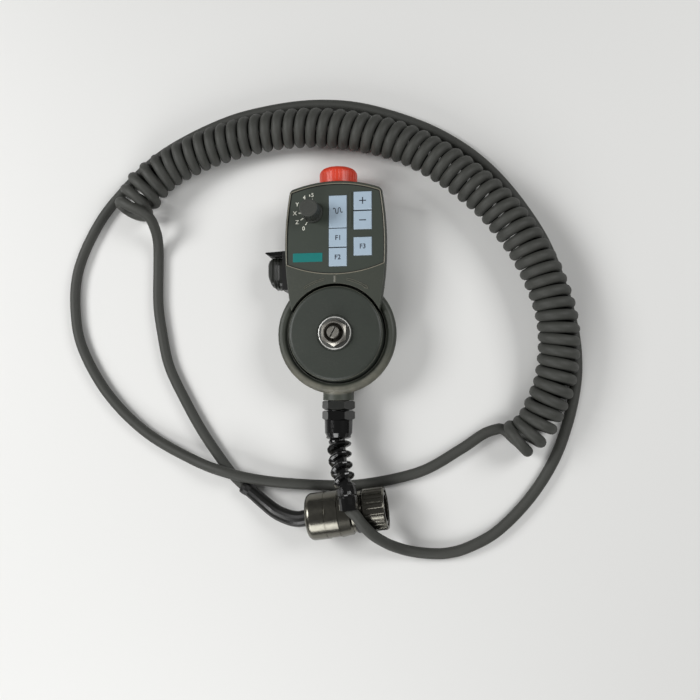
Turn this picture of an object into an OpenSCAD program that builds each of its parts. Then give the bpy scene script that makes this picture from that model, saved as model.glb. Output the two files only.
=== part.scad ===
// Hand-held pulse generator for setting up a machine tool: a flat handset with a
// handwheel, an axis selector, membrane keys, an emergency stop and an enabling
// button, on a curly lead that ends in a round metal connector.
// The handset lies on its back. Origin: on the back plane, under the handwheel's axis.
// +Z is out of the handset's face, +Y runs towards the emergency stop.

/* [Console] */
// Width of the console at its widest place
console_w = 75.4; // [72:0.2:80]
// Top edge of the console, measured from the handwheel's axis
console_top = 112.5; // [111:0.5:114]
// Radius of the console's top edge
top_arc_r = 97; // [90:1:110]
// Radius of the console's long sides
side_arc_r = 235; // [220:5:260]
// Distance of the widest place from the handwheel's axis
belly_y = 65; // [62:1:68]
// Height of the console's raised rim above the back plane
console_h = 35; // [35:0.2:36]
// Wall thickness of the two shells
wall = 2.4; // [2:0.1:2.8]

/* [Wheel housing] */
// Outer radius of the round wheel housing
ring_r = 44; // [43.5:0.1:45]
// Height of the housing's widest line
ring_z = 26; // [25:0.5:27]
// Radius of the housing's rounded lip
lip_r = 3.8; // [3.4:0.1:4]
// Radius of the well that the handwheel turns in
well_r = 36.4; // [36.3:0.1:37]
// Height of the well's floor
well_z = 22.5; // [22:0.1:23]

/* [Handwheel] */
// Outer radius of the handwheel
wheel_r = 35.5; // [34:0.1:36]
// Height of the handwheel's face
wheel_top = 35.5; // [35:0.1:37]
// Number of ribs under the handwheel's face
wheel_ribs = 8; // [4:1:12]
// Width across flats of the nut on the handwheel
nut_af = 17.5; // [16:0.1:18]
// Radius of the generator's shaft
shaft_r = 4.4; // [4:0.1:4.5]

/* [Keys] */
// Width of every key
key_w = 13.4; // [12.6:0.1:13.6]
// Length of a single key
key_h = 13.6; // [12.6:0.1:13.8]
// Length of the long key
long_key_h = 24; // [22:0.5:24]
// Travel of every key
key_travel = 0.6; // [0.3:0.1:0.6]

/* [Emergency stop] */
// Radius of the emergency stop's cap
stop_r = 14.2; // [13:0.1:14.3]
// Height of the emergency stop's axis above the back plane
stop_z = 18.8; // [18.6:0.1:19]
// Front face of the cap, measured from the handwheel's axis
stop_front = 124.8; // [124:0.1:127]

/* [Cable] */
// Diameter of the cable
cable_d = 8; // [7:0.1:8]
// Outer diameter of the curly part
coil_d = 30; // [28:0.5:30]

/* [Connector] */
// Outer radius of the connector's body
plug_r = 17.2; // [16.4:0.1:17.2]
// Outer radius of the coupling ring
coupling_r = 15.8; // [15.6:0.1:16.2]
// Number of grip flutes on the coupling ring
coupling_flutes = 24; // [18:1:30]

/* [Hidden] */

$fn = 64;
eps = 0.01;
fit = 0.05;             // radial clearance of every running fit

// --- heights of the handset's layers ---
cover_t = 3;            // rear cover
seal_t = 0.6;           // seal between cover and front shell
shell_z = cover_t + seal_t;
recess_z = console_h - 2;       // floor of the panel's recess
panel_t = 1.2;
panel_z = recess_z + panel_t;   // face of the panel
roof_z = recess_z - wall;       // underside of the console's roof
key_top = panel_z + 0.4;
floor_z = well_z - wall;        // underside of the well's floor

// Console cross-section: [height, how far the outline is set in].
console_levels = [[0, 8], [3.5, 6], [10, 3.6], [20, 1.4], [29, 0], [33, 0.1], [34.2, 0.35],
                  [34.8, 0.75], [console_h, 1.1]];
// Circle that takes the points off the console's upright corners: [y of its centre, radius].
corner_circle = [78, 43.5];
// Back of the wheel housing: [radius, height].
ring_back = [[0, 0], [34, 0], [35.5, 0.8], [38.6, 8], [42, 18], [43.6, 23]];

// --- places on the console, from the handwheel's axis ---
knob_x = -16.9;
knob_y = 89.1;
left_col = 2;           // centre of the left row of keys
right_col = 20.3;       // centre of the right row of keys
rapid_y = 89.3;
f1_y = 70;
f2_y = 55.7;
f3_y = 63.2;
plus_y = 96.8;
minus_y = 82.4;
key_gap = 0.25;         // gap between a key and its window
screw_places = [[-26.5, 72.8], [26.5, 72.8], [-21.6, 21.6], [21.6, 21.6], [-21.6, -21.6], [21.6, -21.6]];

// --- emergency stop, along +Y ---
pocket_r = stop_r + 0.5;
pocket_y = 106;         // floor of the pocket that the cap sinks into
stop_stem_r = 4.5;
stop_travel = 4;

// --- enabling button on the left side, along -X ---
enable_y = 46.5;
enable_z = 18;
frame_x = -40.8;        // outer face of the button's frame
frame_y = [33.4, 62.6];
frame_half_z = 10;
enable_travel = 2.5;
// Boot's outline by distance from the wheel's axis: [x, low y, high y, half height].
boot_stations = [
    [-39.6, 35, 58, 8.4], [-41.2, 34.9, 58.1, 8.6], [-43.2, 34.9, 58.1, 8.6],
    [-44.4, 34.4, 58.5, 9.2], [-45.6, 34.9, 58.2, 8.5],
    [-46.8, 34.6, 58.5, 9], [-47.8, 35.6, 58.2, 8.4], [-49, 36.2, 58.4, 8.6],
    [-50.4, 38, 58, 7.8], [-51.8, 40.8, 57, 6.6], [-52.8, 43.4, 55.2, 5], [-53.4, 46, 52.4, 2.6]];

// --- gland and bend relief, along -Y ---
gland_z = 18;
gland_y = -48.4;        // end of the housing's boss
gland_af = 21.2;        // across the flats of the gland's two nuts
relief_y = -75.4;       // start of the bend relief
relief_route = [
    [0, -75.4, 18], [0.3, -79, 19], [1.2, -85, 21.5], [2.6, -92.5, 26], [4.6, -99.5, 31],
    [7, -106, 35.6], [8.9, -112, 38.6], [10, -118, 39.8], [10.8, -125, 39.8]];
relief_turns = 5;

// --- cable: leads' and curly part's routes ---
handset_route = [
    [10.8, -124.6, 39.8], [13.2, -127.2, 39.8], [15.5, -129.2, 39.6], [19.2, -134.6, 38.2], [22.7, -139.1, 35.4],
    [25.7, -143.0, 31.4], [28.8, -146.5, 26.6], [34.2, -151.1, 19.5], [39.4, -154.7, 13], [50.6, -159.2, 6],
    [66, -161.1, 4.1], [80, -160.2, 4.1], [95, -156.4, 4.1], [117, -146, 4.1],
    [138, -120, 4.1], [155, -94, 4.1], [165, -66.5, 4.1], [173, -40, 4.1], [176.5, -18, 4.1],
    [175.5, 3, 4.1], [167.5, 34, 4.1], [148, 76, 4.1], [115, 122.5, 4.1], [75, 154, 4.1],
    [25, 175, 4.1], [-15, 182, 4.1], [-56, 180, 4.1], [-98, 170.5, 4.1], [-147, 147, 4.1],
    [-183.5, 113.5, 4.1], [-203, 86, 4.1], [-215.5, 55, 4.1], [-217, 24, 4.1], [-210, -7, 4.1],
    [-188, -43, 4.1], [-156, -73, 4.1], [-118, -93, 7.4], [-87, -103, 13.7], [-56, -109.5, 9],
    [-15, -112.4, 4.1], [18, -111, 4.1], [59, -101.5, 4.1], [88.5, -85, 4.1], [108, -72, 4.6],
    [121, -69.5, 7]];
coil_route = [
    [128, -75, 15], [138, -69, 15], [146, -61, 15], [152, -50, 15], [156, -37, 15], [159, -19, 15.5],
    [160, -2, 16.5], [158.5, 12, 18], [155, 27, 19.5], [148, 48, 19.5], [137, 69, 19.5], [117, 96, 18.5],
    [96, 116, 17], [75, 132, 16], [42, 149, 15], [-5, 160, 15], [-50, 160.5, 15], [-95, 151, 15],
    [-129, 136.5, 16], [-145, 125, 17.5], [-156, 111.5, 17.5], [-162.5, 102.5, 17]];
connector_route = [
    [-157, 104, 12], [-152, 93, 6], [-148.5, 78, 4.1], [-147.8, 56, 4.1], [-147, 28, 4.1],
    [-143.5, 5, 4.1], [-137, -22, 4.1], [-125, -50, 4.1], [-112, -73, 4.1], [-96, -93, 4.1],
    [-84, -106, 4.5], [-75, -113.5, 6]];
sleeve_route = [
    [-75, -113.5, 6], [-67, -119.5, 6.8], [-59, -125.5, 8], [-52, -130.2, 9.8], [-46, -133, 12.2],
    [-37, -135.5, 15.5], [-29.5, -136.1, 17.1], [-23, -134.6, 17.3], [-20.1, -134.2, 17.3]];

// --- connector, along its own axis from the cable's end ---
plug_place = [-23, -134.6, 17.3];
plug_angle = 8;
plug_len = 58.8;
backshell_len = 24.5;
body_len = 9.5;
neck_r = 14.6;
groove_r = 13.3;         // bottom of the seal's groove in the neck
coupling_start = 42.6;

// ------------------------------------------------------------------ functions

function unit(v) = v / norm(v);

// Point on a smooth curve through the route, between its points i and i + 1.
function curve_point(route, i, t) =
    let (last = len(route) - 1,
         a = route[max(i - 1, 0)], b = route[i], c = route[min(i + 1, last)], d = route[min(i + 2, last)])
    0.5 * ((2 * b) + (c - a) * t + (2 * a - 5 * b + 4 * c - d) * t * t
           + (3 * b - a - 3 * c + d) * t * t * t);

// The route with 'steps' rings to each of its spans.
function smooth(route, steps) =
    concat([for (i = [0 : len(route) - 2]) for (k = [0 : steps - 1]) curve_point(route, i, k / steps)],
           [route[len(route) - 1]]);

// Direction of the path at its point i.
function heading(path, i) =
    unit(path[min(i + 1, len(path) - 1)] - path[max(i - 1, 0)]);

// Sideways and upward directions of a ring that faces along t.
function sideways(t) = unit(cross(t, [0, 0, 1]));
function upward(t) = cross(sideways(t), t);

// Ring of points of radius r round p, facing along t.
function ring_points(p, t, r, sides) =
    [for (k = [0 : sides - 1]) let (a = 360 * (k + 0.5) / sides)
        p + r * (sin(a) * sideways(t) + cos(a) * upward(t))];

// Faces that join 'count' rings of 'sides' points into a closed tube.
function tube_faces(count, sides) =
    concat([[for (k = [0 : sides - 1]) k]],
           [for (i = [0 : count - 2]) for (k = [0 : sides - 1])
               let (n = (k + 1) % sides)
               [i * sides + k, (i + 1) * sides + k, (i + 1) * sides + n, i * sides + n]],
           [[for (k = [0 : sides - 1]) count * sides - 1 - k]]);

// Points of an arc from angle a to angle b.
function arc(centre, r, a, b, steps) =
    [for (k = [0 : steps]) let (w = a + (b - a) * k / steps) centre + r * [cos(w), sin(w)]];

// ------------------------------------------------------------ shared modules

// Tube of radius r along a path; r may be one number or one for each ring.
module tube(path, r, sides) {
    radii = is_list(r) ? r : [for (p = path) r];
    points = [for (i = [0 : len(path) - 1]) each ring_points(path[i], heading(path, i), radii[i], sides)];
    polyhedron(points, tube_faces(len(path), sides), convexity = 10);
}

// One wall of the console: its cross-section revolved about the wall's own centre.
module console_wall(centre, r, inset) {
    translate([centre[0], centre[1], 0]) rotate_extrude($fn = 360)
        polygon(concat([[0, 0]], [for (level = console_levels) [r - inset - level[1], level[0]]],
                       [[0, console_h]]));
}

// Console's outer form, set in by 'inset' all round.
module console_form(inset) {
    side = side_arc_r - console_w / 2;
    intersection() {
        console_wall([0, console_top - top_arc_r], top_arc_r, inset);
        console_wall([side, belly_y], side_arc_r, inset);
        console_wall([-side, belly_y], side_arc_r, inset);
        union() {
            console_wall([0, corner_circle[0]], corner_circle[1], inset);
            translate([-60, 0, -1]) cube([120, corner_circle[0], console_h + 2]);
        }
        translate([-60, 2, -1]) cube([120, 120, console_h + 2]);
    }
}

// Wheel housing's outer form: one revolved profile with a rounded lip.
module ring_form() {
    lip = [ring_r - lip_r, ring_z];
    rotate_extrude($fn = 128)
        polygon(concat(ring_back, arc(lip, lip_r, 0, 150, 10), [[0, ring_z + 1]]));
}

// Inside of the wheel housing, under the well's floor.
module ring_hollow() {
    rotate_extrude($fn = 128)
        polygon([[0, -eps], [34.5, -eps], [37, 8], [39.6, 17.5], [39.6, floor_z], [0, floor_z]]);
}

// Face of the key panel: two side arcs, the top arc and a bowed lower edge.
module panel_outline(grow) {
    intersection() {
        translate([0, console_top - top_arc_r]) circle(r = top_arc_r - 3.1 + grow, $fn = 120);
        translate([side_arc_r - console_w / 2, belly_y]) circle(r = side_arc_r - 2.1 + grow, $fn = 300);
        translate([console_w / 2 - side_arc_r, belly_y]) circle(r = side_arc_r - 2.1 + grow, $fn = 300);
        translate([0, 44 + 92]) circle(r = 92 + grow, $fn = 120);
        translate([-50, 30]) square([100, 80]);
    }
}

// Windows for the two rows of keys.
module key_windows(depth) {
    w = key_w + 2 * key_gap;
    for (row = [[left_col, f2_y - key_h / 2, rapid_y + long_key_h / 2],
                [right_col, f3_y - key_h / 2, f3_y + key_h / 2],
                [right_col, minus_y - key_h / 2, plus_y + key_h / 2]])
        translate([row[0] - w / 2, row[1] - key_gap, 0])
            cube([w, row[2] - row[1] + 2 * key_gap, depth]);
}

// One key: bevelled cap, retaining wings under the roof and a stem for its dome.
module key_form(x, y, h) {
    wing = 1.1;
    translate([x, y, 0]) {
        hull() {
            translate([-key_w / 2, -h / 2, roof_z - 1]) cube([key_w, h, key_top - 0.5 - roof_z + 1]);
            translate([-key_w / 2 + 0.5, -h / 2 + 0.5, roof_z]) cube([key_w - 1, h - 1, key_top - roof_z]);
        }
        translate([-key_w / 2 - wing, -h / 2 + 2, roof_z - 1.3]) cube([key_w + 2 * wing, h - 4, 1]);
        translate([0, 0, roof_z - 2.1]) cylinder(r = 2, h = 1.2, $fn = 24);
    }
}

// Hexagonal prism standing on its base.
module hex_nut(af, h) {
    cylinder(r = af / sqrt(3), h = h, $fn = 6);
}

// Hexagonal nut with its corners rounded off at both ends.
module chamfered_nut(af, h) {
    reach = af / sqrt(3);
    intersection() {
        hex_nut(af, h);
        rotate_extrude() polygon([[0, 0], [af / 2 - 0.3, 0], [reach + 0.2, 1], [reach + 0.2, h - 1.6],
                                  [af / 2 - 0.9, h], [0, h]]);
    }
}

// Stands children on the emergency stop's axis, at distance y, pointing along +Y.
module on_stop_axis(y) {
    translate([0, y, stop_z]) rotate([-90, 0, 0]) children();
}

// Stands children on the gland's axis, at distance y, pointing along -Y.
module on_gland_axis(y) {
    translate([0, y, gland_z]) rotate([90, 0, 0]) children();
}

// Stands children on the connector's axis, at 'u' from its cable end.
module on_plug_axis(u) {
    translate(plug_place) rotate([0, 0, plug_angle]) rotate([0, 90, 0]) translate([0, 0, u]) children();
}

// ---------------------------------------------------------------- the shells

module rear_cover() {
    color([0.2, 0.21, 0.2]) difference() {
        intersection() {
            union() { console_form(0); ring_form(); }
            translate([-60, -60, 0]) cube([120, 180, cover_t]);
        }
        for (p = screw_places) translate([p[0], p[1], 0]) {
            translate([0, 0, -eps]) cylinder(r1 = 2.9, r2 = 1.6, h = 1.6 + eps, $fn = 32);
            cylinder(r = 1.6, h = cover_t + eps, $fn = 32);
        }
    }
}

module cover_screws() {
    color("silver") for (p = screw_places) translate([p[0], p[1], 0.1]) difference() {
        union() {
            cylinder(r1 = 2.75, r2 = 1.45, h = 1.5, $fn = 32);
            cylinder(r = 1.45, h = 12, $fn = 32);
        }
        translate([0, 0, -eps]) cylinder(r = 1.1, h = 1, $fn = 6);
    }
}

// Flat cord seal that follows the joint between cover and front shell.
module shell_seal() {
    color([0.08, 0.08, 0.08]) difference() {
        intersection() {
            union() { console_form(0.2); translate([0, 0, -0.6]) ring_form(); }
            translate([-60, -60, cover_t]) cube([120, 180, seal_t]);
        }
        intersection() {
            union() { console_form(1.8); ring_hollow(); }
            translate([-60, -60, cover_t - 1]) cube([120, 180, seal_t + 2]);
        }
        for (p = screw_places) translate([p[0], p[1], 0]) cylinder(r = 1.7, h = 6, $fn = 32);
    }
}

module front_shell() {
    color([0.28, 0.29, 0.27]) difference() {
        union() {
            console_form(0);
            ring_form();
            on_gland_axis(-41) cylinder(r = 11.4, h = -41 - gland_y);
        }
        shell_cavity();
        translate([-60, -60, -1]) cube([120, 180, shell_z + 1]);
        translate([0, 0, well_z]) cylinder(r = well_r, h = 20, $fn = 128);
        translate([0, 0, recess_z]) linear_extrude(3) panel_outline(0.4);
        translate([0, 0, roof_z - 2]) key_windows(5);
        // shaft holes of the handwheel and of the axis switch
        translate([0, 0, floor_z - 1]) cylinder(r = 7.1, h = 5);
        translate([knob_x, knob_y, roof_z - 1]) cylinder(r = 4.5, h = 5);
        // emergency stop: pocket for the cap and hole for the barrel
        on_stop_axis(pocket_y) cylinder(r = pocket_r, h = 30, $fn = 96);
        on_stop_axis(pocket_y - 5) cylinder(r = 7.7, h = 8);
        // gland thread
        on_gland_axis(-38.6) cylinder(r = 8, h = 26);
        // seat of the enabling button's frame
        translate([frame_x - 20, frame_y[0], enable_z - frame_half_z])
            cube([24.9, frame_y[1] - frame_y[0], 2 * frame_half_z]);
        translate([frame_x, 37, enable_z - 7.5]) cube([12, 19, 15]);
        for (p = screw_places) translate([p[0], p[1], 0]) cylinder(r = 1.45, h = 13, $fn = 32);
    }
}

// Space inside the front shell. The well's wall, the screw bosses, the board's posts
// and the wall behind the emergency stop are left standing in it.
module shell_cavity() {
    difference() {
        union() {
            intersection() {
                console_form(wall);
                translate([-50, 0, 0]) cube([100, 120, roof_z]);
            }
            ring_hollow();
        }
        translate([0, 0, floor_z]) cylinder(r = well_r + 2.3, h = 20, $fn = 128);
        for (p = screw_places) translate([p[0], p[1], 0]) cylinder(r = 3.2, h = 40, $fn = 32);
        for (y = [54, 80]) translate([-25.5, y, 26.6]) cylinder(r = 2, h = 10, $fn = 24);
        on_stop_axis(pocket_y - 2.5) cylinder(r = pocket_r + 1.8, h = 30, $fn = 96);
    }
}

// ------------------------------------------------------------ panel and keys

module keypad_panel() {
    rib_w = 2.2;
    color([0.27, 0.28, 0.26]) {
        difference() {
            translate([0, 0, recess_z]) linear_extrude(panel_t) panel_outline(0);
            translate([0, 0, recess_z - 1]) key_windows(4);
            translate([knob_x, knob_y, recess_z - 1]) cylinder(r = 4.9, h = 4);
            on_stop_axis(pocket_y) cylinder(r = pocket_r, h = 30, $fn = 96);
        }
        translate([11.15 - rib_w / 2, 77, panel_z]) cube([rib_w, 26.4, 0.45]);
    }
}

module key_rapid() { color([0.74, 0.79, 0.84]) key_form(left_col, rapid_y, long_key_h); }
module key_f1() { color([0.74, 0.79, 0.84]) key_form(left_col, f1_y, key_h); }
module key_f2() { color([0.74, 0.79, 0.84]) key_form(left_col, f2_y, key_h); }
module key_f3() { color([0.74, 0.79, 0.84]) key_form(right_col, f3_y, key_h); }
module key_plus() { color([0.74, 0.79, 0.84]) key_form(right_col, plus_y, key_h); }
module key_minus() { color([0.74, 0.79, 0.84]) key_form(right_col, minus_y, key_h); }

// Snap domes under the keys on one sheet.
module dome_sheet() {
    sheet_z = 26.6;
    color([0.6, 0.62, 0.6]) {
        difference() {
            translate([-6, 48, sheet_z]) cube([34, 51.5, 0.4]);
            for (p = screw_places) translate([p[0], p[1], sheet_z - 1]) cylinder(r = 3.6, h = 3, $fn = 32);
        }
        for (p = [[left_col, rapid_y], [left_col, f1_y], [left_col, f2_y],
                  [right_col, f3_y], [right_col, plus_y], [right_col, minus_y]])
            translate([p[0], p[1], sheet_z + 0.4])
                cylinder(r1 = 2.7, r2 = 1.9, h = roof_z - 2.1 - key_travel - 0.1 - sheet_z - 0.4, $fn = 32);
    }
}

// Circuit board under the domes, cut out round the axis switch.
module control_board() {
    board_z = 25;
    color([0.1, 0.35, 0.2]) {
        difference() {
            translate([-29.5, 47.5, board_z]) cube([58.5, 52, 1.6]);
            translate([knob_x, knob_y, board_z - 1]) cylinder(r = 9, h = 4);
            translate([-7, 97.4, board_z - 1]) cube([14, 5, 4]);
            for (p = screw_places) translate([p[0], p[1], board_z - 1]) cylinder(r = 3.6, h = 4, $fn = 32);
        }
        for (chip = [[-10, 62, 12], [12, 56, 9], [14, 78, 7]])
            translate([chip[0], chip[1], board_z - 1.6]) cube([chip[2], chip[2], 1.6]);
        translate([-2, 49, board_z - 5]) cube([16, 5, 5]);
    }
}

// ------------------------------------------------------------- axis selector

module axis_switch_body() {
    color([0.12, 0.12, 0.13]) translate([knob_x, knob_y, 0]) difference() {
        union() {
            translate([0, 0, 12]) cylinder(r = 8, h = roof_z - 12);
            translate([0, 0, roof_z]) cylinder(r = 4.4, h = panel_z - 0.2 - roof_z);
        }
        translate([0, 0, 22]) cylinder(r = 3 + fit, h = 20);
        translate([0, 0, 16]) cylinder(r = 6.4, h = 6 + eps);
    }
}

module axis_switch_shaft() {
    color("silver") translate([knob_x, knob_y, 0]) {
        translate([0, 0, 17]) cylinder(r = 5.8, h = 3);
        translate([0, 0, 20]) cylinder(r = 3, h = 24);
    }
}

// Turned knob with a skirt, a fluted grip and a pointer rib.
module axis_knob() {
    base_z = panel_z + 0.4;
    knob_top = 50;
    flutes = 18;
    color([0.22, 0.23, 0.22]) translate([knob_x, knob_y, 0]) {
        difference() {
            rotate_extrude() polygon(concat(
                [[0, base_z], [7.6, base_z], [7.6, base_z + 1.6], [6.9, base_z + 2.6]],
                [[6.6, knob_top - 0.6]], arc([6.1, knob_top - 0.5], 0.5, 20, 90, 4), [[0, knob_top]]));
            translate([0, 0, 30]) cylinder(r = 3, h = 14);
            translate([0, 0, knob_top - 0.7]) cylinder(r = 4.6, h = 2);
            for (k = [0 : flutes - 1]) rotate([0, 0, 360 * k / flutes])
                translate([7.35, 0, base_z + 2.9]) rotate([0, -1.6, 0]) cylinder(r = 0.75, h = 11.4, $fn = 16);
        }
        rotate([0, 0, 240]) translate([5.6, -0.6, base_z + 2]) cube([1.9, 1.2, 9]);
    }
}

module knob_cap() {
    color([0.25, 0.26, 0.25]) translate([knob_x, knob_y, 49.3]) cylinder(r = 4.6, h = 0.6);
}

// ------------------------------------------------- pulse generator and wheel

module encoder_body() {
    color([0.15, 0.15, 0.16]) difference() {
        union() {
            translate([0, 0, 5]) cylinder(r = 26, h = 15.1);
            translate([0, 0, 20.1]) cylinder(r = 7, h = 5.4);
        }
        translate([0, 0, 6.5]) cylinder(r = 24, h = 11.5);
        cylinder(r = 6.2, h = 30);
    }
}

module encoder_bearing() {
    color([0.7, 0.55, 0.3]) translate([0, 0, 18.2]) difference() {
        cylinder(r = 6.2, h = 7.3);
        translate([0, 0, -1]) cylinder(r = shaft_r + fit, h = 10);
    }
}

module encoder_nut() {
    color("silver") translate([0, 0, well_z]) difference() {
        chamfered_nut(17, 2.4);
        translate([0, 0, -1]) cylinder(r = 7, h = 6);
    }
}

// Shaft from the code disc to its slotted end above the nut.
module encoder_shaft() {
    shaft_top = 45.5;
    color("silver") difference() {
        union() {
            translate([0, 0, 7.5]) cylinder(r = 3, h = 10);
            translate([0, 0, 17.5]) cylinder(r = shaft_r, h = shaft_top - 0.6 - 17.5);
            translate([0, 0, shaft_top - 0.6]) cylinder(r1 = shaft_r, r2 = shaft_r - 0.6, h = 0.6);
        }
        rotate([0, 0, 62]) translate([-10, -0.55, shaft_top - 1.6]) cube([20, 1.1, 3]);
    }
}

module code_disc() {
    slots = 25;
    color([0.75, 0.75, 0.78]) translate([0, 0, 11]) difference() {
        cylinder(r = 22.5, h = 0.8, $fn = 96);
        translate([0, 0, -1]) cylinder(r = 3, h = 3);
        for (k = [0 : slots - 1]) rotate([0, 0, 360 * k / slots])
            translate([18.6, -0.9, -1]) cube([2.6, 1.8, 3]);
    }
}

// Cup-shaped wheel: face, rolled edge, skirt, and hub with ribs underneath.
module handwheel() {
    skirt_z = 24.2;
    web_z = wheel_top - 2.8;
    edge_r = 3.2;
    color([0.27, 0.28, 0.27]) difference() {
        union() {
            rotate_extrude($fn = 128) polygon(concat(
                [[0, web_z], [0, wheel_top - 0.3], [13, wheel_top - 0.3], [13.6, wheel_top]],
                arc([wheel_r - edge_r - 0.6, wheel_top - edge_r], edge_r, 90, 12, 8),
                [[wheel_r, skirt_z + 1], [wheel_r - 0.6, skirt_z], [wheel_r - 2.6, skirt_z],
                 [wheel_r - 3.2, web_z]]));
            translate([0, 0, skirt_z + 2]) cylinder(r = 11, h = web_z - skirt_z - 1);
            for (k = [0 : wheel_ribs - 1]) rotate([0, 0, 360 * k / wheel_ribs])
                translate([10, -0.8, skirt_z + 4]) cube([wheel_r - 12.5, 1.6, web_z - skirt_z - 3]);
        }
        translate([0, 0, 20]) cylinder(r = 5.9, h = 20);
    }
}

// Split clamping sleeve between the shaft and the wheel.
module wheel_collet() {
    color([0.2, 0.19, 0.17]) translate([0, 0, 27]) difference() {
        cylinder(r = 5.9, h = 12.2);
        translate([0, 0, -1]) cylinder(r = shaft_r, h = 20);
        for (k = [0 : 2]) rotate([0, 0, 20 + 120 * k]) translate([0, -0.4, 5]) cube([10, 0.8, 20]);
    }
}

module wheel_washer() {
    color("silver") translate([0, 0, wheel_top - 0.3]) difference() {
        rotate_extrude() polygon([[5.9, 0], [12.3, 0], [12.3, 1], [11.7, 1.6], [11.2, 1.3], [5.9, 1.3]]);
        translate([0, 0, -1]) cylinder(r = 5.9, h = 5);
    }
}

module wheel_nut() {
    color("silver") translate([0, 0, wheel_top + 1]) rotate([0, 0, 30]) difference() {
        chamfered_nut(nut_af, 5.2);
        translate([0, 0, -1]) cylinder(r = 5.9, h = 8);
        translate([0, 0, 3.2]) cylinder(r1 = 5.9, r2 = 7.1, h = 2 + eps);
    }
}

// ------------------------------------------------------------ emergency stop

module stop_barrel() {
    color([0.1, 0.1, 0.1]) difference() {
        union() {
            on_stop_axis(98) cylinder(r = 7.6, h = 10.4);
            on_stop_axis(pocket_y) cylinder(r = 10.5, h = 1.4);
        }
        on_stop_axis(90) cylinder(r = stop_stem_r + fit, h = 30);
    }
}

module stop_locknut() {
    color([0.12, 0.12, 0.12]) difference() {
        on_stop_axis(99.8) hex_nut(19, 3.6);
        on_stop_axis(90) cylinder(r = 7.6, h = 20);
    }
}

module stop_contact_block() {
    color([0.16, 0.17, 0.2]) difference() {
        translate([-8, 76, stop_z - 7]) cube([16, 21.8, 12.8]);
        on_stop_axis(84) cylinder(r = stop_stem_r + 0.4, h = 20);
    }
}

module stop_plunger() {
    color([0.75, 0.75, 0.75]) on_stop_axis(91) cylinder(r = stop_stem_r, h = 30);
}

module stop_spring() {
    turns = 4;
    wire = 0.45;
    mid_r = 6.4;
    start_y = pocket_y + 2.4;
    steps = 14;
    pitch = (11.6 - 2 * wire) / turns;
    path = [for (k = [0 : turns * steps]) let (a = 360 * k / steps)
        [mid_r * cos(a), start_y + wire + pitch * k / steps, stop_z + mid_r * sin(a)]];
    points = [for (i = [0 : len(path) - 1]) let (a = 360 * i / steps, out = [cos(a), 0, sin(a)])
        each [for (k = [0 : 5]) path[i] + wire * (cos(60 * k) * out + sin(60 * k) * [0, 1, 0])]];
    color("silver") polyhedron(points, tube_faces(len(path), 6), convexity = 10);
}

// Mushroom cap with a rounded front, a hollow skirt and fine grip grooves.
module stop_cap() {
    skirt_y = 111;
    depth = stop_front - skirt_y;
    front_r = 4.6;
    grooves = 36;
    color([0.86, 0.25, 0.18]) difference() {
        on_stop_axis(skirt_y) rotate_extrude($fn = 96) polygon(concat(
            [[0, 1.8], [5.6, 1.8], [5.6, 9], [12, 9], [12.2, 0], [stop_r - 0.7, 0], [stop_r - 0.2, 2]],
            arc([stop_r - front_r, depth - front_r], front_r, 0, 78, 8),
            [[4, depth], [0, depth]]));
        on_stop_axis(100) cylinder(r = stop_stem_r + fit, h = 21.4);
        for (k = [0 : grooves - 1]) rotate_about_stop(360 * k / grooves)
            on_stop_axis(skirt_y + 3) translate([stop_r + 0.25, 0, 0]) cylinder(r = 0.5, h = 8, $fn = 16);
    }
}

// Turns children about the emergency stop's axis.
module rotate_about_stop(angle) {
    translate([0, 0, stop_z]) rotate([0, angle, 0]) translate([0, 0, -stop_z]) children();
}

// ----------------------------------------------------------- enabling button

// Frame let into the side wall, with a slot that the boot moves in.
module enable_frame() {
    depth = 4.9;
    color([0.35, 0.36, 0.34]) difference() {
        union() {
            translate([frame_x, frame_y[0], enable_z - frame_half_z])
                cube([depth, frame_y[1] - frame_y[0], 2 * frame_half_z]);
            translate([-51.2, 58.9, enable_z - 9]) cube([12, 0.7, 18]);
        }
        translate([frame_x - 1, 34.4, enable_z - 9]) cube([depth + 2 - 1.6, 24.2, 18]);
        translate([frame_x - 1, 38, enable_z - 6.5]) cube([depth + 6, 17, 13]);
    }
}

// Finger guard that stands out above the button.
module enable_guard() {
    color([0.06, 0.06, 0.06]) translate([0, 0, enable_z - 9.6]) difference() {
        linear_extrude(19.2) polygon(concat(
            [[frame_x, 59.7], [-51.3, 59.7]], arc([-53.2, 61.2], 0.7, 230, 100, 5), [[frame_x, 62.5]]));
        for (z = [-4, 20.4]) translate([-62, 60, z]) rotate([0, 32, 0]) cube([18, 8, 3]);
    }
}

// Bellows boot: rounded rings whose size rises and falls with its folds.
module enable_boot() {
    sides = 24;
    power = 0.55;
    color([0.07, 0.07, 0.07]) difference() {
        polyhedron(
            [for (s = boot_stations)
                let (mid = (s[1] + s[2]) / 2, half = (s[2] - s[1]) / 2)
                each [for (k = [0 : sides - 1]) let (a = -360 * k / sides)
                    [s[0], mid + half * sign(cos(a)) * pow(abs(cos(a)), power),
                     enable_z + s[3] * sign(sin(a)) * pow(abs(sin(a)), power)]]],
            tube_faces(len(boot_stations), sides), convexity = 6);
        translate([-44, 40, enable_z - 4.5]) cube([10, 13, 9]);
    }
}

module enable_plunger() {
    color([0.5, 0.5, 0.5]) {
        translate([-44, 40, enable_z - 4.5]) cube([4.6, 13, 9]);
        translate([-39.4, enable_y, enable_z]) rotate([0, 90, 0]) cylinder(r = 2.2, h = 7.6);
    }
}

module enable_spring() {
    color("silver") translate([-39.4, enable_y, enable_z]) rotate([0, 90, 0]) difference() {
        cylinder(r = 3.6, h = 3.5, $fn = 32);
        translate([0, 0, -1]) cylinder(r = 2.8, h = 6, $fn = 32);
    }
}

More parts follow.
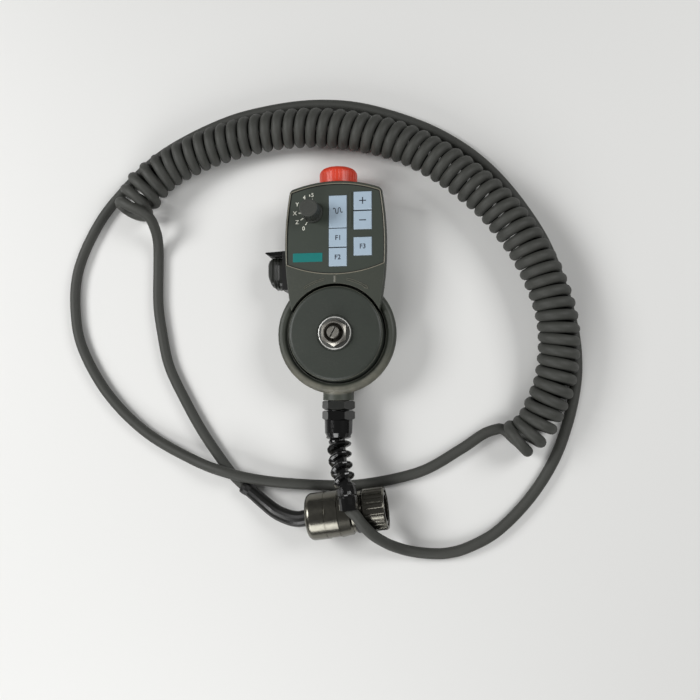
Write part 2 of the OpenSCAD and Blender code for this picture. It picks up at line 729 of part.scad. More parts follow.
module enable_switch() {
    color([0.14, 0.14, 0.15]) difference() {
        translate([-35.9, 37.3, enable_z - 7.2]) cube([14.9, 18.4, 13.8]);
        translate([-37, enable_y, enable_z]) rotate([0, 90, 0]) cylinder(r = 2.5, h = 10);
    }
}

// ------------------------------------------------------ gland and bend relief

module gland_body() {
    color([0.1, 0.1, 0.1]) difference() {
        union() {
            on_gland_axis(-38.8) cylinder(r = 8, h = 21.7);
            on_gland_axis(gland_y - 7.6) cylinder(r = 8.6, h = 5);
        }
        on_gland_axis(-30) cylinder(r = 4.3, h = 40);
        on_gland_axis(-57.5) cylinder(r = 6.6, h = 20);
    }
}

module gland_locknut() {
    color([0.16, 0.16, 0.15]) on_gland_axis(gland_y - 0.2) difference() {
        chamfered_nut(gland_af, 7);
        translate([0, 0, -1]) cylinder(r = 8, h = 12);
    }
}

// Dome nut: short hexagon that runs into a slightly tapered barrel.
module gland_dome_nut() {
    color([0.05, 0.05, 0.05]) on_gland_axis(-56) difference() {
        union() {
            chamfered_nut(gland_af, 7.2);
            translate([0, 0, 7]) cylinder(r1 = 10.4, r2 = 10.1, h = 9.4);
            translate([0, 0, 16.4]) cylinder(r1 = 10.1, r2 = 8.6, h = 3);
        }
        translate([0, 0, -1]) cylinder(r = 8.6, h = 6);
        translate([0, 0, 4]) cylinder(r = 6.7, h = 8);
        translate([0, 0, 11]) cylinder(r = 4.3, h = 10);
    }
}

module gland_seal() {
    color([0.12, 0.12, 0.12]) on_gland_axis(-57.6) difference() {
        cylinder(r = 6.5, h = 9);
        translate([0, 0, -1]) cylinder(r = 4.2, h = 12);
    }
}

// Bend relief: a wedge-shaped strand wound round a core along a curved route. It
// tapers in diameter and ends in a plain sleeve.
module bend_relief() {
    steps = 16;
    core_r = 4.8;
    path = smooth(relief_route, 12);
    last = len(path) - 1;
    turn_from = 7;
    turn_to = 71;
    count = relief_turns * steps;
    crest = [9.5, 7.9];
    function at(k) = turn_from + (turn_to - turn_from) * k / count;
    function along(x) = let (i = floor(x), t = x - i) path[i] * (1 - t) + path[min(i + 1, last)] * t;
    // crest radius, rising from the core at the strand's ends
    function reach(k) = let (full = crest[0] + (crest[1] - crest[0]) * k / count)
        core_r - 0.5 + (full - core_r + 0.5) * min(1, k / 6, (count - k) / 6);
    // strand's section, as [distance from the axis, offset along it]
    function section(r) = [
        [r, 0], [r - 0.4, -0.9], [core_r + (r - core_r) * 0.55, -1.9], [core_r - 0.3, -3],
        [core_r - 1, 0], [core_r - 0.3, 3], [core_r + (r - core_r) * 0.55, 1.9], [r - 0.4, 0.9]];
    points = [for (k = [0 : count])
        let (t = heading(path, round(at(k))), a = 360 * k / steps,
             out = sin(a) * sideways(t) + cos(a) * upward(t), c = along(at(k)))
        each [for (q = section(reach(k))) c + q[0] * out + q[1] * t]];
    color([0.04, 0.04, 0.04]) {
        polyhedron(points, tube_faces(count + 1, 8), convexity = 12);
        tube([for (i = [0 : 2 : 6]) path[i]], [9.2, 9.2, 8.4, 6], 20);
        tube([for (i = [0 : 6 : last]) path[i]], core_r, 12);
        tube([for (i = [70, 76, 79, 80, 82, 89, last]) path[i]], [7, 7.2, 7.1, 6.5, 7, 6.9, 6.8], 16);
    }
}

// -------------------------------------------------------------------- cables

// Stretch of the cable inside the gland, up to its clamp in the handset.
module lead_in_gland() {
    color([0.2, 0.2, 0.19]) on_gland_axis(-39) cylinder(r = cable_d / 2, h = -39 - relief_y);
}

module handset_lead() {
    color([0.2, 0.2, 0.19]) tube(handset_route, cable_d / 2, 10);
}

module cable_coil() {
    color([0.26, 0.26, 0.25]) tube(coil_route, coil_d / 2, 12);
}

module connector_lead() {
    color([0.2, 0.2, 0.19]) tube(connector_route, cable_d / 2, 10);
}

// ----------------------------------------------------------------- connector

// Rubber sleeve on the lead, with a collar ring at its thin end.
module lead_sleeve() {
    path = smooth(sleeve_route, 3);
    last = len(path) - 1;
    color([0.07, 0.07, 0.07])
        tube(path, [for (i = [0 : last]) i < 2 ? 5.7 : 4.9 + 1.35 * i / last], 16);
}

module connector_backshell() {
    flat_at = [15.8, 24.4];
    color([0.62, 0.6, 0.56]) difference() {
        on_plug_axis(0) rotate_extrude($fn = 96) polygon(concat(
            [[6.3, 0], [12.6, 0]], arc([plug_r - 4.6, 4.6], 4.6, -60, 0, 6),
            [[plug_r, 14.4], [plug_r - 0.4, 14.6], [plug_r - 0.4, 15.2], [plug_r, 15.4],
             [plug_r, backshell_len - 0.3], [plug_r - 0.3, backshell_len], [10, backshell_len],
             [10, 6], [6.3, 6]]));
        for (turn = [81, 171, 261, 351]) on_plug_axis(flat_at[0]) rotate([0, 0, turn])
            translate([plug_r - 0.55, -9, 0]) cube([3, 18, flat_at[1] - flat_at[0]]);
    }
}

module connector_body() {
    color([0.6, 0.58, 0.54]) on_plug_axis(backshell_len) difference() {
        rotate_extrude($fn = 96) polygon([
            [0, 0], [plug_r - 0.3, 0], [plug_r, 0.3], [plug_r - 1, body_len - 1], [plug_r - 2, body_len],
            [neck_r, body_len], [neck_r, 11.4], [groove_r, 11.4], [groove_r, 14.4], [neck_r, 14.4],
            [neck_r, 17.4],
            [11.6, 17.4], [11.6, 33.8], [0, 33.8]]);
        translate([0, 0, -1]) cylinder(r = 9.6, h = 16);
        translate([0, 0, 15 - eps]) cylinder(r = 9.6, h = 22);
    }
}

module connector_seal() {
    color([0.05, 0.05, 0.05]) on_plug_axis(backshell_len + 11.5) difference() {
        rotate_extrude($fn = 96) translate([groove_r + 1.1, 1.4]) circle(r = 1.35, $fn = 24);
        translate([0, 0, -1]) cylinder(r = groove_r + fit, h = 5);
    }
}

// Coupling ring with wide grip flutes, free to turn on the connector's nose.
module coupling_ring() {
    length = plug_len - coupling_start;
    color([0.64, 0.62, 0.58]) on_plug_axis(coupling_start) difference() {
        rotate_extrude($fn = 96) polygon([
            [11.6 + fit, 0], [coupling_r - 0.8, 0], [coupling_r, 0.8], [coupling_r, length - 1.2],
            [coupling_r - 0.8, length], [13, length], [13, 8], [11.6 + fit, 8]]);
        for (k = [0 : coupling_flutes - 1]) rotate([0, 0, 360 * (k + 0.5) / coupling_flutes])
            translate([coupling_r + 0.92, 0, 1.8]) cylinder(r = 1.25, h = length, $fn = 16);
    }
}

module contact_insert() {
    color([0.1, 0.1, 0.1]) on_plug_axis(backshell_len + 13) difference() {
        cylinder(r = 9.55, h = 9);
        for (p = pin_places()) translate([p[0], p[1], -1]) cylinder(r = 0.8, h = 12, $fn = 24);
    }
}

module contact_pins() {
    color([0.85, 0.7, 0.35]) on_plug_axis(backshell_len + 11)
        for (p = pin_places()) translate([p[0], p[1], 0]) cylinder(r = 0.8, h = 15, $fn = 24);
}

// Places of the contacts: an outer and an inner circle.
function pin_places() = concat(
    [for (k = [0 : 10]) 7 * [cos(360 * k / 12), sin(360 * k / 12)]],
    [for (k = [0 : 4]) 3.4 * [cos(72 * k), sin(72 * k)]]);

// ------------------------------------------------------------------ assembly

rear_cover();
cover_screws();
shell_seal();
front_shell();
keypad_panel();
key_rapid();
key_f1();
key_f2();
key_f3();
key_plus();
key_minus();
dome_sheet();
control_board();
axis_switch_body();
axis_switch_shaft();
axis_knob();
knob_cap();
encoder_body();
encoder_bearing();
encoder_nut();
encoder_shaft();
code_disc();
handwheel();
wheel_collet();
wheel_washer();
wheel_nut();
stop_barrel();
stop_locknut();
stop_contact_block();
stop_plunger();
stop_spring();
stop_cap();
enable_frame();
enable_guard();
enable_boot();
enable_plunger();
enable_spring();
enable_switch();
gland_body();
gland_locknut();
gland_dome_nut();
gland_seal();
bend_relief();
lead_in_gland();
handset_lead();
cable_coil();
connector_lead();
lead_sleeve();
connector_backshell();
connector_body();
connector_seal();
coupling_ring();
contact_insert();
contact_pins();
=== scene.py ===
"""Looks of a hand-held pulse generator: handset, curly lead and round connector.

Every length is in metres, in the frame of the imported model, unless a note says
millimetres. The origin is on the handset's back plane under the handwheel's axis, +Z is
out of the face and +Y runs towards the emergency stop.
"""

import logging
import math
from dataclasses import dataclass
from typing import Iterable, Sequence

import bpy
from mathutils import Matrix, Vector

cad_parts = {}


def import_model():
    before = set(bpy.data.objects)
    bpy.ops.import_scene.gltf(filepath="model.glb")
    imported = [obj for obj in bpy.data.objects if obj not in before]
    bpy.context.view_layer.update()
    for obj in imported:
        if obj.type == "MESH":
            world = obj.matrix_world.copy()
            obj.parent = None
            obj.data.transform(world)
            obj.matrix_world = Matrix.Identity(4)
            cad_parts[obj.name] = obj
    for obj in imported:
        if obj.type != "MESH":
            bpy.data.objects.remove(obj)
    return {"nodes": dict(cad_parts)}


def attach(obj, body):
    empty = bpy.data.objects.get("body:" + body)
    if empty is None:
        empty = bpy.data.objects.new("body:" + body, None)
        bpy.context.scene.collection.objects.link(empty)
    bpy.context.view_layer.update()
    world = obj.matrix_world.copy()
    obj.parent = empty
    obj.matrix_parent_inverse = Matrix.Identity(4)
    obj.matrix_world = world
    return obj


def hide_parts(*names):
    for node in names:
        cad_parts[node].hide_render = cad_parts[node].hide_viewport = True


LOG = logging.getLogger("pulse_generator")
MM = 0.001
TINY = 1e-9
Point = tuple[float, float, float]
Colour = tuple[float, float, float]
Rgba = tuple[float, float, float, float]
Table = tuple[tuple[float, float], ...]
Piece = bpy.types.Object
Socket = bpy.types.NodeSocket

# Sections of a raised line, as shares of its width and height.
SQUARE_SECTION: Table = ((-0.5, 0.0), (-0.5, 1.0), (0.5, 1.0), (0.5, 0.0))
ROUND_SECTION: Table = (
    (-0.5, 0.0), (-0.38, 0.7), (-0.15, 1.0), (0.15, 1.0), (0.38, 0.7), (0.5, 0.0),
)
# Height of the font's capitals and how much bolder they are cut, as shares.
CAPITAL_SHARE = 0.69
BOLDNESS = 0.022
LETTER_STEPS = 6


# --- geometry


def metres(points: Iterable[Sequence[float]], z: float = 0.0) -> list[Vector]:
    """Turns points in millimetres into metres. Those with no height of their own get z."""
    return [Vector((*p, z)[:3]) * MM for p in points]


def around(radius: float, angle: float, z: float = 0.0) -> Vector:
    """The point at an angle round the Z axis."""
    return Vector((radius * math.cos(angle), radius * math.sin(angle), z))


def heading(path: Sequence[Vector], i: int, reach: int = 1) -> Vector:
    """The direction in which a path runs past one of its points."""
    return (path[min(i + reach, len(path) - 1)] - path[max(i - reach, 0)]).normalized()


def smooth_route(route: Sequence[Vector], steps: int) -> list[Vector]:
    """Runs a smooth curve through every point of a route.

    Args:
        route: The points that the curve passes through.
        steps: How many stretches each span is cut into.

    Returns:
        The curve's points, the route's own among them.
    """
    last = len(route) - 1
    curve: list[Vector] = []
    for i in range(last):
        a, b = route[max(i - 1, 0)], route[i]
        c, d = route[i + 1], route[min(i + 2, last)]
        for k in range(steps):
            t = k / steps
            curve.append(0.5 * (
                2 * b + (c - a) * t + (2 * a - 5 * b + 4 * c - d) * t * t
                + (3 * b - a - 3 * c + d) * t**3
            ))
    curve.append(route[last].copy())
    return curve


def bridge(
    before: Sequence[Vector], after: Sequence[Vector], leave: float, arrive: float, steps: int
) -> list[Vector]:
    """Joins the end of one path to the start of another by a smooth curve.

    Args:
        before: The path that it leaves.
        after: The path that it runs into.
        leave: Its pull along the first path, in millimetres.
        arrive: Its pull along the second path, in millimetres.
        steps: How many stretches it is cut into.

    Returns:
        The curve's points, without its two ends.
    """
    a, b = before[-1], after[0]
    start = (before[-1] - before[-2]).normalized() * leave * MM
    end = (after[1] - after[0]).normalized() * arrive * MM
    joined = []
    for k in range(1, steps):
        t = k / steps
        joined.append(
            a * (2 * t**3 - 3 * t**2 + 1)
            + start * (t**3 - 2 * t**2 + t)
            + b * (3 * t**2 - 2 * t**3)
            + end * (t**3 - t**2)
        )
    return joined


def even_spacing(path: Sequence[Vector], gap: float) -> list[Vector]:
    """Places points at equal distances along a path.

    Args:
        path: The path's points.
        gap: The wanted distance between two points.

    Returns:
        The new points, with the path's own two ends.
    """
    travelled = [0.0]
    for a, b in zip(path, path[1:]):
        travelled.append(travelled[-1] + (b - a).length)
    count = max(2, round(travelled[-1] / gap))
    placed, i = [], 0
    for k in range(count + 1):
        target = travelled[-1] * k / count
        while i < len(path) - 2 and travelled[i + 1] < target:
            i += 1
        span = travelled[i + 1] - travelled[i]
        placed.append(path[i].lerp(path[i + 1], (target - travelled[i]) / span if span else 0.0))
    return placed


def stepped(table: Table, at: float) -> float:
    """Reads a value between the entries of a table."""
    for (x0, y0), (x1, y1) in zip(table, table[1:]):
        if at <= x1:
            return y0 + (y1 - y0) * max(at - x0, 0.0) / (x1 - x0)
    return table[-1][1]


def path_length(path: Sequence[Vector]) -> float:
    """Length along a path."""
    return sum((b - a).length for a, b in zip(path, path[1:]))


def tube_faces(rings: int, sides: int) -> list[list[int]]:
    """Faces of a closed tube: its walls, ring by ring, and then its two ends."""
    walls = [
        [i * sides + k, i * sides + (k + 1) % sides,
         (i + 1) * sides + (k + 1) % sides, (i + 1) * sides + k]
        for i in range(rings - 1)
        for k in range(sides)
    ]
    end = [(rings - 1) * sides + k for k in range(sides)]
    return [*walls, list(range(sides))[::-1], end]


def put(name: str, data: bpy.types.ID) -> Piece:
    """Puts a new object with the given data into the scene."""
    piece = bpy.data.objects.new(name, data)
    bpy.context.scene.collection.objects.link(piece)
    return piece


def mesh_piece(name: str, verts: Sequence[Vector], faces: Sequence[Sequence[int]]) -> Piece:
    """Makes a smooth-shaded object from points and faces and puts it into the scene."""
    mesh = bpy.data.meshes.new(name)
    mesh.from_pydata([tuple(v) for v in verts], [], [tuple(f) for f in faces])
    mesh.validate()
    mesh.shade_smooth()
    return put(name, mesh)


def swept_tube(name: str, path: Sequence[Vector], radius: float, sides: int) -> Piece:
    """Sweeps a round section along a path without twisting it.

    Args:
        name: The new object's name.
        path: Centres of the rings.
        radius: The tube's radius.
        sides: Points in each ring.

    Returns:
        The closed tube.
    """
    verts: list[Vector] = []
    normal = Vector((0.0, 0.0, 1.0))
    for i, centre in enumerate(path):
        ahead = heading(path, i)
        normal = (normal - ahead * normal.dot(ahead)).normalized()
        across = ahead.cross(normal)
        for k in range(sides):
            angle = 2 * math.pi * k / sides
            verts.append(centre + radius * (math.cos(angle) * normal + math.sin(angle) * across))
    return mesh_piece(name, verts, tube_faces(len(path), sides))


def flat_ribbon(
    name: str, line: Sequence[Vector], width: float, thickness: float,
    section: Table = SQUARE_SECTION,
) -> Piece:
    """Makes a thin raised line that lies on a level surface.

    Args:
        name: The new object's name.
        line: The middle of the line, on the surface.
        width: Width of the line.
        thickness: Height above the surface.
        section: Outline of the line's section.

    Returns:
        The closed ribbon.
    """
    verts = []
    for i, p in enumerate(line):
        ahead = heading(line, i)
        side = Vector((ahead.y, -ahead.x, 0.0))
        verts += [p + side * (x * width) + Vector((0.0, 0.0, y * thickness)) for x, y in section]
    piece = mesh_piece(name, verts, tube_faces(len(line), len(section)))
    piece.data.shade_flat()
    return piece


def lettering(name: str, words: str, height: float, centre: Vector, thickness: float) -> Piece:
    """Cuts a short legend out of thin sheet and lays it on the face.

    Args:
        name: The new object's name.
        words: What the legend says.
        height: Height of its capitals.
        centre: Middle of the legend, on the surface.
        thickness: How far it stands out.

    Returns:
        The legend as a mesh.
    """
    curve = bpy.data.curves.new(name, "FONT")
    curve.body = words
    curve.size = height / CAPITAL_SHARE
    curve.align_x = "CENTER"
    curve.align_y = "CENTER"
    curve.extrude = thickness / 2
    curve.offset = height * BOLDNESS
    curve.resolution_u = LETTER_STEPS
    maker = put(name + "_outline", curve)
    bpy.context.view_layer.update()
    ready = maker.evaluated_get(bpy.context.evaluated_depsgraph_get())
    mesh = bpy.data.meshes.new_from_object(ready)
    bpy.data.objects.remove(maker)
    bpy.data.curves.remove(curve)
    low = Vector((min(v.co[i] for v in mesh.vertices) for i in range(3)))
    high = Vector((max(v.co[i] for v in mesh.vertices) for i in range(3)))
    lift = Vector((0.0, 0.0, thickness / 2))
    mesh.transform(Matrix.Translation(centre - (low + high) / 2 + lift))
    mesh.name = name
    return put(name, mesh)


# --- materials


def linear(rgb: Colour) -> Rgba:
    """Turns a display colour of 0 to 255 into a linear colour with full alpha."""
    shades = [c / 255 for c in rgb]
    low = [s / 12.92 if s <= 0.04045 else ((s + 0.055) / 1.055) ** 2.4 for s in shades]
    return (low[0], low[1], low[2], 1.0)


@dataclass(frozen=True)
class Finish:
    """How one surface looks before lamps light it; its edge and rim marks carry painted highlights
    and its corners painted shade.
    """

    name: str
    colour: Colour
    roughness: float
    turned: bool = False
    metallic: float = 0.0
    coat: float = 0.0
    mottle: float = 0.12
    grain_scale: float = 2600.0
    grain_depth: float = 0.000012
    # Colour and strength of the edge marks: partly real wear, partly a painted highlight on edges
    # and rims.
    edge_colour: Colour = (150, 146, 138)
    edge_wear: float = 0.0
    edge_radius: float = 0.0006
    dust: float = 0.0
    # Strength of a painted highlight on the lower side of the wheel housing's lip.
    lip_light: float = 0.0
    axis: Point = (0.0, 0.0, 1.0)
    centre: Point = (0.0, 0.0, 0.0)


def metal(name: str, colour: Colour, roughness: float, **more: object) -> Finish:
    """The finish of bare metal with a lathe's marks."""
    return Finish(name, colour, roughness, turned=True, metallic=1.0, **more)


# The connector's direction, and a point on its axis.
PLUG_TURN = math.radians(8.0)
PLUG_PLACE: Point = (-23 * MM, -134.6 * MM, 17.3 * MM)

# The housing's light edges are partly wear and partly a painted highlight; its lighter lower lip is
# a painted highlight.
HOUSING = Finish("housing_plastic", (55, 59, 51), 0.5, edge_colour=(138, 134, 120),
                 edge_wear=0.5, dust=0.05, lip_light=0.55)
PANEL = Finish("panel_foil", (49, 56, 48), 0.52, grain_scale=3400, grain_depth=0.000008,
               edge_colour=(104, 106, 96), edge_wear=0.2, dust=0.03)
# Lighter than the housing: a painted highlight on raised ribs and on the wheel's rim line.
MARK_HIGHLIGHT = Finish("moulded_mark_highlight", (92, 92, 82), 0.4, edge_colour=(134, 130, 116), edge_wear=0.4,
              edge_radius=0.0003)
# A light line on the lip round the panel's recess: a painted highlight.
LIP_HIGHLIGHT = Finish("recess_lip_highlight", (132, 127, 112), 0.4, mottle=0.3)
# A dark line in the gap round the panel: painted shade.
GAP_SHADE = Finish("recess_gap_shade", (12, 12, 11), 0.6)
WHEEL = Finish("wheel_plastic", (46, 51, 45), 0.46, mottle=0.2, grain_scale=3000,
               edge_colour=(128, 126, 112), edge_wear=0.4, dust=0.06)
KEY = Finish("key_foil", (164, 182, 197), 0.4, mottle=0.06, grain_depth=0.000004,
             edge_colour=(222, 234, 243), edge_wear=0.9)
KNOB = Finish("knob_plastic", (54, 56, 52), 0.5, edge_colour=(110, 109, 100), edge_wear=0.3,
              dust=0.04)
STOP_RED = Finish("stop_cap_red", (214, 62, 36), 0.4, edge_colour=(246, 146, 118),
                  edge_wear=0.3, coat=0.1)
GLOSS_BLACK = Finish("glossy_black", (8, 8, 8), 0.16, mottle=0.06, grain_depth=0.000004,
                     edge_wear=0.06, coat=0.2, edge_colour=(70, 70, 68))
SATIN_BLACK = Finish("satin_black", (17, 17, 16), 0.36, edge_wear=0.1,
                     edge_colour=(80, 80, 76), dust=0.03)
# The locknut's light edges are mostly a painted highlight.
GREY_NUT = Finish("grey_locknut", (30, 31, 29), 0.34, edge_colour=(112, 112, 106),
                  edge_wear=0.5, dust=0.04)
BOOT = Finish("boot_rubber", (24, 26, 22), 0.34, edge_wear=0.06, edge_colour=(80, 80, 76),
              coat=0.12, mottle=0.3)
JACKET = Finish("cable_jacket", (57, 58, 54), 0.62, mottle=0.2, grain_scale=1800,
                grain_depth=0.00002, dust=0.08)
WHITE_INK = Finish("off_white_ink", (212, 212, 200), 0.55, mottle=0.06, grain_depth=0.0)
DARK_INK = Finish("dark_ink", (44, 50, 62), 0.55, mottle=0.05, grain_depth=0.0)
BLANK_PLATE = Finish("blank_plate", (6, 114, 110), 0.4, mottle=0.08, grain_depth=0.000003)
BOARD_GREEN = Finish("board_laminate", (40, 96, 60), 0.4)
CLEAR_FILM = Finish("dome_film", (168, 170, 166), 0.3)
PLAIN_STEEL = metal("turned_steel", (150, 149, 145), 0.3)
DARK_STEEL = metal("dark_steel", (62, 59, 54), 0.36)
# The washer's near-white edge is a painted highlight.
WASHER = metal("washer_steel", (120, 121, 118), 0.42, edge_wear=1.0,
               edge_colour=(244, 244, 240), edge_radius=0.0005)
# The nut's near-white edges are a painted highlight.
NUT_STEEL = metal("nut_steel", (164, 161, 153), 0.4, mottle=0.3, edge_wear=1.0,
                  edge_colour=(240, 240, 236), edge_radius=0.0004)
# Near-white ring on the washer's rim: a painted highlight.
RIM_HIGHLIGHT = metal("painted_rim_highlight", (236, 236, 232), 0.5, mottle=0.2)
BRONZE = metal("sintered_bronze", (176, 140, 84), 0.42)
GOLD = metal("gold_plate", (224, 190, 104), 0.26)
NICKEL = metal("worn_nickel", (112, 110, 102), 0.24, mottle=0.3, grain_depth=0.000008,
               edge_wear=0.4, edge_colour=(190, 184, 170), edge_radius=0.0004,
               axis=(math.cos(PLUG_TURN), math.sin(PLUG_TURN), 0.0), centre=PLUG_PLACE)

NODE_FINISHES: dict[Finish, str] = {
    HOUSING: "rear_cover front_shell",
    PANEL: "keypad_panel",
    KEY: "key_rapid key_f1 key_f2 key_f3 key_plus key_minus",
    KNOB: "axis_knob knob_cap",
    WHEEL: "handwheel",
    WASHER: "wheel_washer",
    NUT_STEEL: "wheel_nut encoder_shaft",
    DARK_STEEL: "wheel_collet",
    STOP_RED: "stop_cap",
    BOOT: "enable_boot",
    GLOSS_BLACK: "enable_guard gland_dome_nut bend_relief",
    GREY_NUT: "gland_locknut",
    JACKET: "lead_in_gland",
    NICKEL: "connector_backshell connector_body coupling_ring",
    GOLD: "contact_pins",
    CLEAR_FILM: "dome_sheet",
    BOARD_GREEN: "control_board",
    BRONZE: "encoder_bearing",
    PLAIN_STEEL: (
        "cover_screws axis_switch_shaft encoder_nut code_disc stop_plunger stop_spring "
        "enable_spring"
    ),
    SATIN_BLACK: (
        "shell_seal axis_switch_body encoder_body stop_barrel stop_locknut "
        "stop_contact_block enable_frame enable_plunger enable_switch gland_body "
        "gland_seal lead_sleeve connector_seal contact_insert"
    ),
}


class Graph:
    """Adds nodes to one node tree and links them up."""

    # Sockets of a mix node that mixes colours.
    MIX_A, MIX_B, MIX_RESULT = 6, 7, 2

    def __init__(self, tree: bpy.types.NodeTree) -> None:
        """Starts on a tree."""
        self.tree = tree

    def feed(self, socket: Socket, value: object) -> None:
        """Links a socket into an input, or sets the input to a fixed value."""
        if isinstance(value, Socket):
            self.tree.links.new(value, socket)
        else:
            socket.default_value = value

    def node(self, kind: str, *sources: object, **inputs: object) -> bpy.types.Node:
        """Adds a node and feeds its inputs, in order or by name with _ for a space."""
        node = self.tree.nodes.new("ShaderNode" + kind)
        for socket, value in zip(node.inputs, sources):
            self.feed(socket, value)
        for label, value in inputs.items():
            self.feed(node.inputs[label.replace("_", " ")], value)
        return node

    def math(self, kind: str, a: object, b: object, clamp: bool = False) -> Socket:
        """Works out one sum from sockets or numbers."""
        node = self.node("Math", a, b)
        node.operation = kind
        node.use_clamp = clamp
        return node.outputs[0]

    def product(self, first: object, *more: object) -> Socket:
        """Multiplies sockets or numbers, from left to right."""
        for factor in more:
            first = self.math("MULTIPLY", first, factor)
        return first

    def inverse(self, mask: Socket) -> Socket:
        """Turns a mask into its opposite."""
        return self.math("SUBTRACT", 1.0, mask)

    def vector(self, kind: str, *sources: Socket) -> Socket:
        """Works out one sum from vectors: a number or a vector."""
        node = self.node("VectorMath", *sources)
        node.operation = kind
        return node.outputs["Value" if kind in ("DOT_PRODUCT", "LENGTH") else "Vector"]

    def here(self) -> Socket:
        """The shaded point in the object's own coordinates."""
        return self.node("TexCoord").outputs["Object"]

    def noise(self, name: str, scale: float, detail: float) -> Socket:
        """Adds a noise texture in the object's own coordinates."""
        node = self.node("TexNoise", Scale=scale, Detail=detail, Vector=self.here())
        node.name = name
        return node.outputs["Fac"]

    def spread(self, value: Socket, low: float, high: float) -> Socket:
        """Stretches low to high out to 0 to 1, with soft ends."""
        node = self.node("MapRange", Value=value, From_Min=low, From_Max=high)
        node.interpolation_type = "SMOOTHSTEP"
        return node.outputs["Result"]

    def at_least(self, least: float, mask: Socket) -> Socket:
        """Raises the low end of a mask."""
        return self.math("ADD", least, self.product(mask, 1.0 - least))

    def blend(self, kind: str, factor: object, a: object, b: object) -> Socket:
        """Mixes two colours, each a socket or a fixed colour."""
        node = self.node("Mix", Factor=factor)
        node.data_type = "RGBA"
        node.blend_type = kind
        self.feed(node.inputs[self.MIX_A], a)
        self.feed(node.inputs[self.MIX_B], b)
        return node.outputs[self.MIX_RESULT]

    def effect(self, group: bpy.types.NodeTree, **values: object) -> bpy.types.Node:
        """Places a node group and sets its inputs."""
        node = self.node("Group")
        node.node_tree = group
        for label, value in values.items():
            node.inputs[label].default_value = value
        return node


class EffectGraph(Graph):
    """A node group with named inputs and outputs."""

    def __init__(
        self, name: str, inputs: dict[str, float], outputs: Sequence[str],
        vectors: Sequence[str] = (),
    ) -> None:
        """Makes an empty group. Its number inputs come with their first values."""
        super().__init__(bpy.data.node_groups.new(name, "ShaderNodeTree"))
        for label, value in inputs.items():
            self._socket(label, "INPUT", "Float").default_value = value
        for label in vectors:
            self._socket(label, "INPUT", "Vector")
        for label in outputs:
            self._socket(label, "OUTPUT", "Float")
        self._inside = self.tree.nodes.new("NodeGroupInput")
        self._outside = self.tree.nodes.new("NodeGroupOutput")

    def _socket(self, label: str, side: str, kind: str) -> bpy.types.NodeTreeInterfaceSocket:
        """Adds one socket to the group."""
        return self.tree.interface.new_socket(label, in_out=side, socket_type="NodeSocket" + kind)

    def given(self, label: str) -> Socket:
        """One of the group's inputs, seen from inside."""
        return self._inside.outputs[label]

    def give(self, label: str, value: Socket) -> None:
        """Sends a value out of the group."""
        self.feed(self._outside.inputs[label], value)

    def give_mask(self, label: str, *factors: Socket) -> None:
        """Sends out the product of masks times the group's amount, held within 0 to 1."""
        mask = self.product(*factors)
        self.give(label, self.math("MULTIPLY", mask, self.given("Amount"), clamp=True))


def cloudy_shade() -> bpy.types.NodeTree:
    """Cloudy shade variation at two sizes: 1 is the plain colour."""
    broad_share, usual_sum = 1.4, 1.2
    graph = EffectGraph("cloudy_shade", {"Amount": 0.1}, ["Shade"])
    broad = graph.noise("broad clouds", scale=38.0, detail=3.0)
    fine = graph.noise("fine clouds", scale=420.0, detail=2.0)
    both = graph.math("ADD", graph.product(broad, broad_share), fine)
    centred = graph.math("SUBTRACT", both, usual_sum)
    graph.give("Shade", graph.math("ADD", graph.product(centred, graph.given("Amount")), 1.0))
    return graph.tree


def moulded_grain() -> bpy.types.NodeTree:
    """Fine grain of moulded plastic: relief, and a speckle for roughness."""
    graph = EffectGraph("moulded_grain", {"Scale": 2600.0}, ["Height", "Speckle"])
    where = {"Vector": graph.here(), "Scale": graph.given("Scale")}
    cells = graph.node("TexVoronoi", **where)
    cells.feature = "SMOOTH_F1"
    noise = graph.node("TexNoise", Detail=3.0, **where)
    both = graph.math("ADD", cells.outputs["Distance"], noise.outputs["Fac"])
    graph.give("Height", graph.product(both, 0.5))
    graph.give("Speckle", noise.outputs["Fac"])
    return graph.tree


def lathe_marks() -> bpy.types.NodeTree:
    """Fine rings that a lathe leaves, round an axis through a centre."""
    graph = EffectGraph(
        "lathe_marks", {"Density": 2400.0}, ["Height", "Streak"], vectors=["Axis", "Centre"]
    )
    offset = graph.vector("SUBTRACT", graph.here(), graph.given("Centre"))
    along = graph.vector("DOT_PRODUCT", offset, graph.given("Axis"))
    radius = graph.vector("LENGTH", graph.vector("CROSS_PRODUCT", offset, graph.given("Axis")))
    tool_path = graph.math("ADD", along, radius)
    rings = graph.node("TexNoise", Scale=1.0, Detail=4.0)
    rings.noise_dimensions = "1D"
    graph.feed(rings.inputs["W"], graph.product(tool_path, graph.given("Density")))
    graph.give("Height", rings.outputs["Fac"])
    graph.give("Streak", graph.noise("handling smears", scale=260.0, detail=3.0))
    return graph.tree


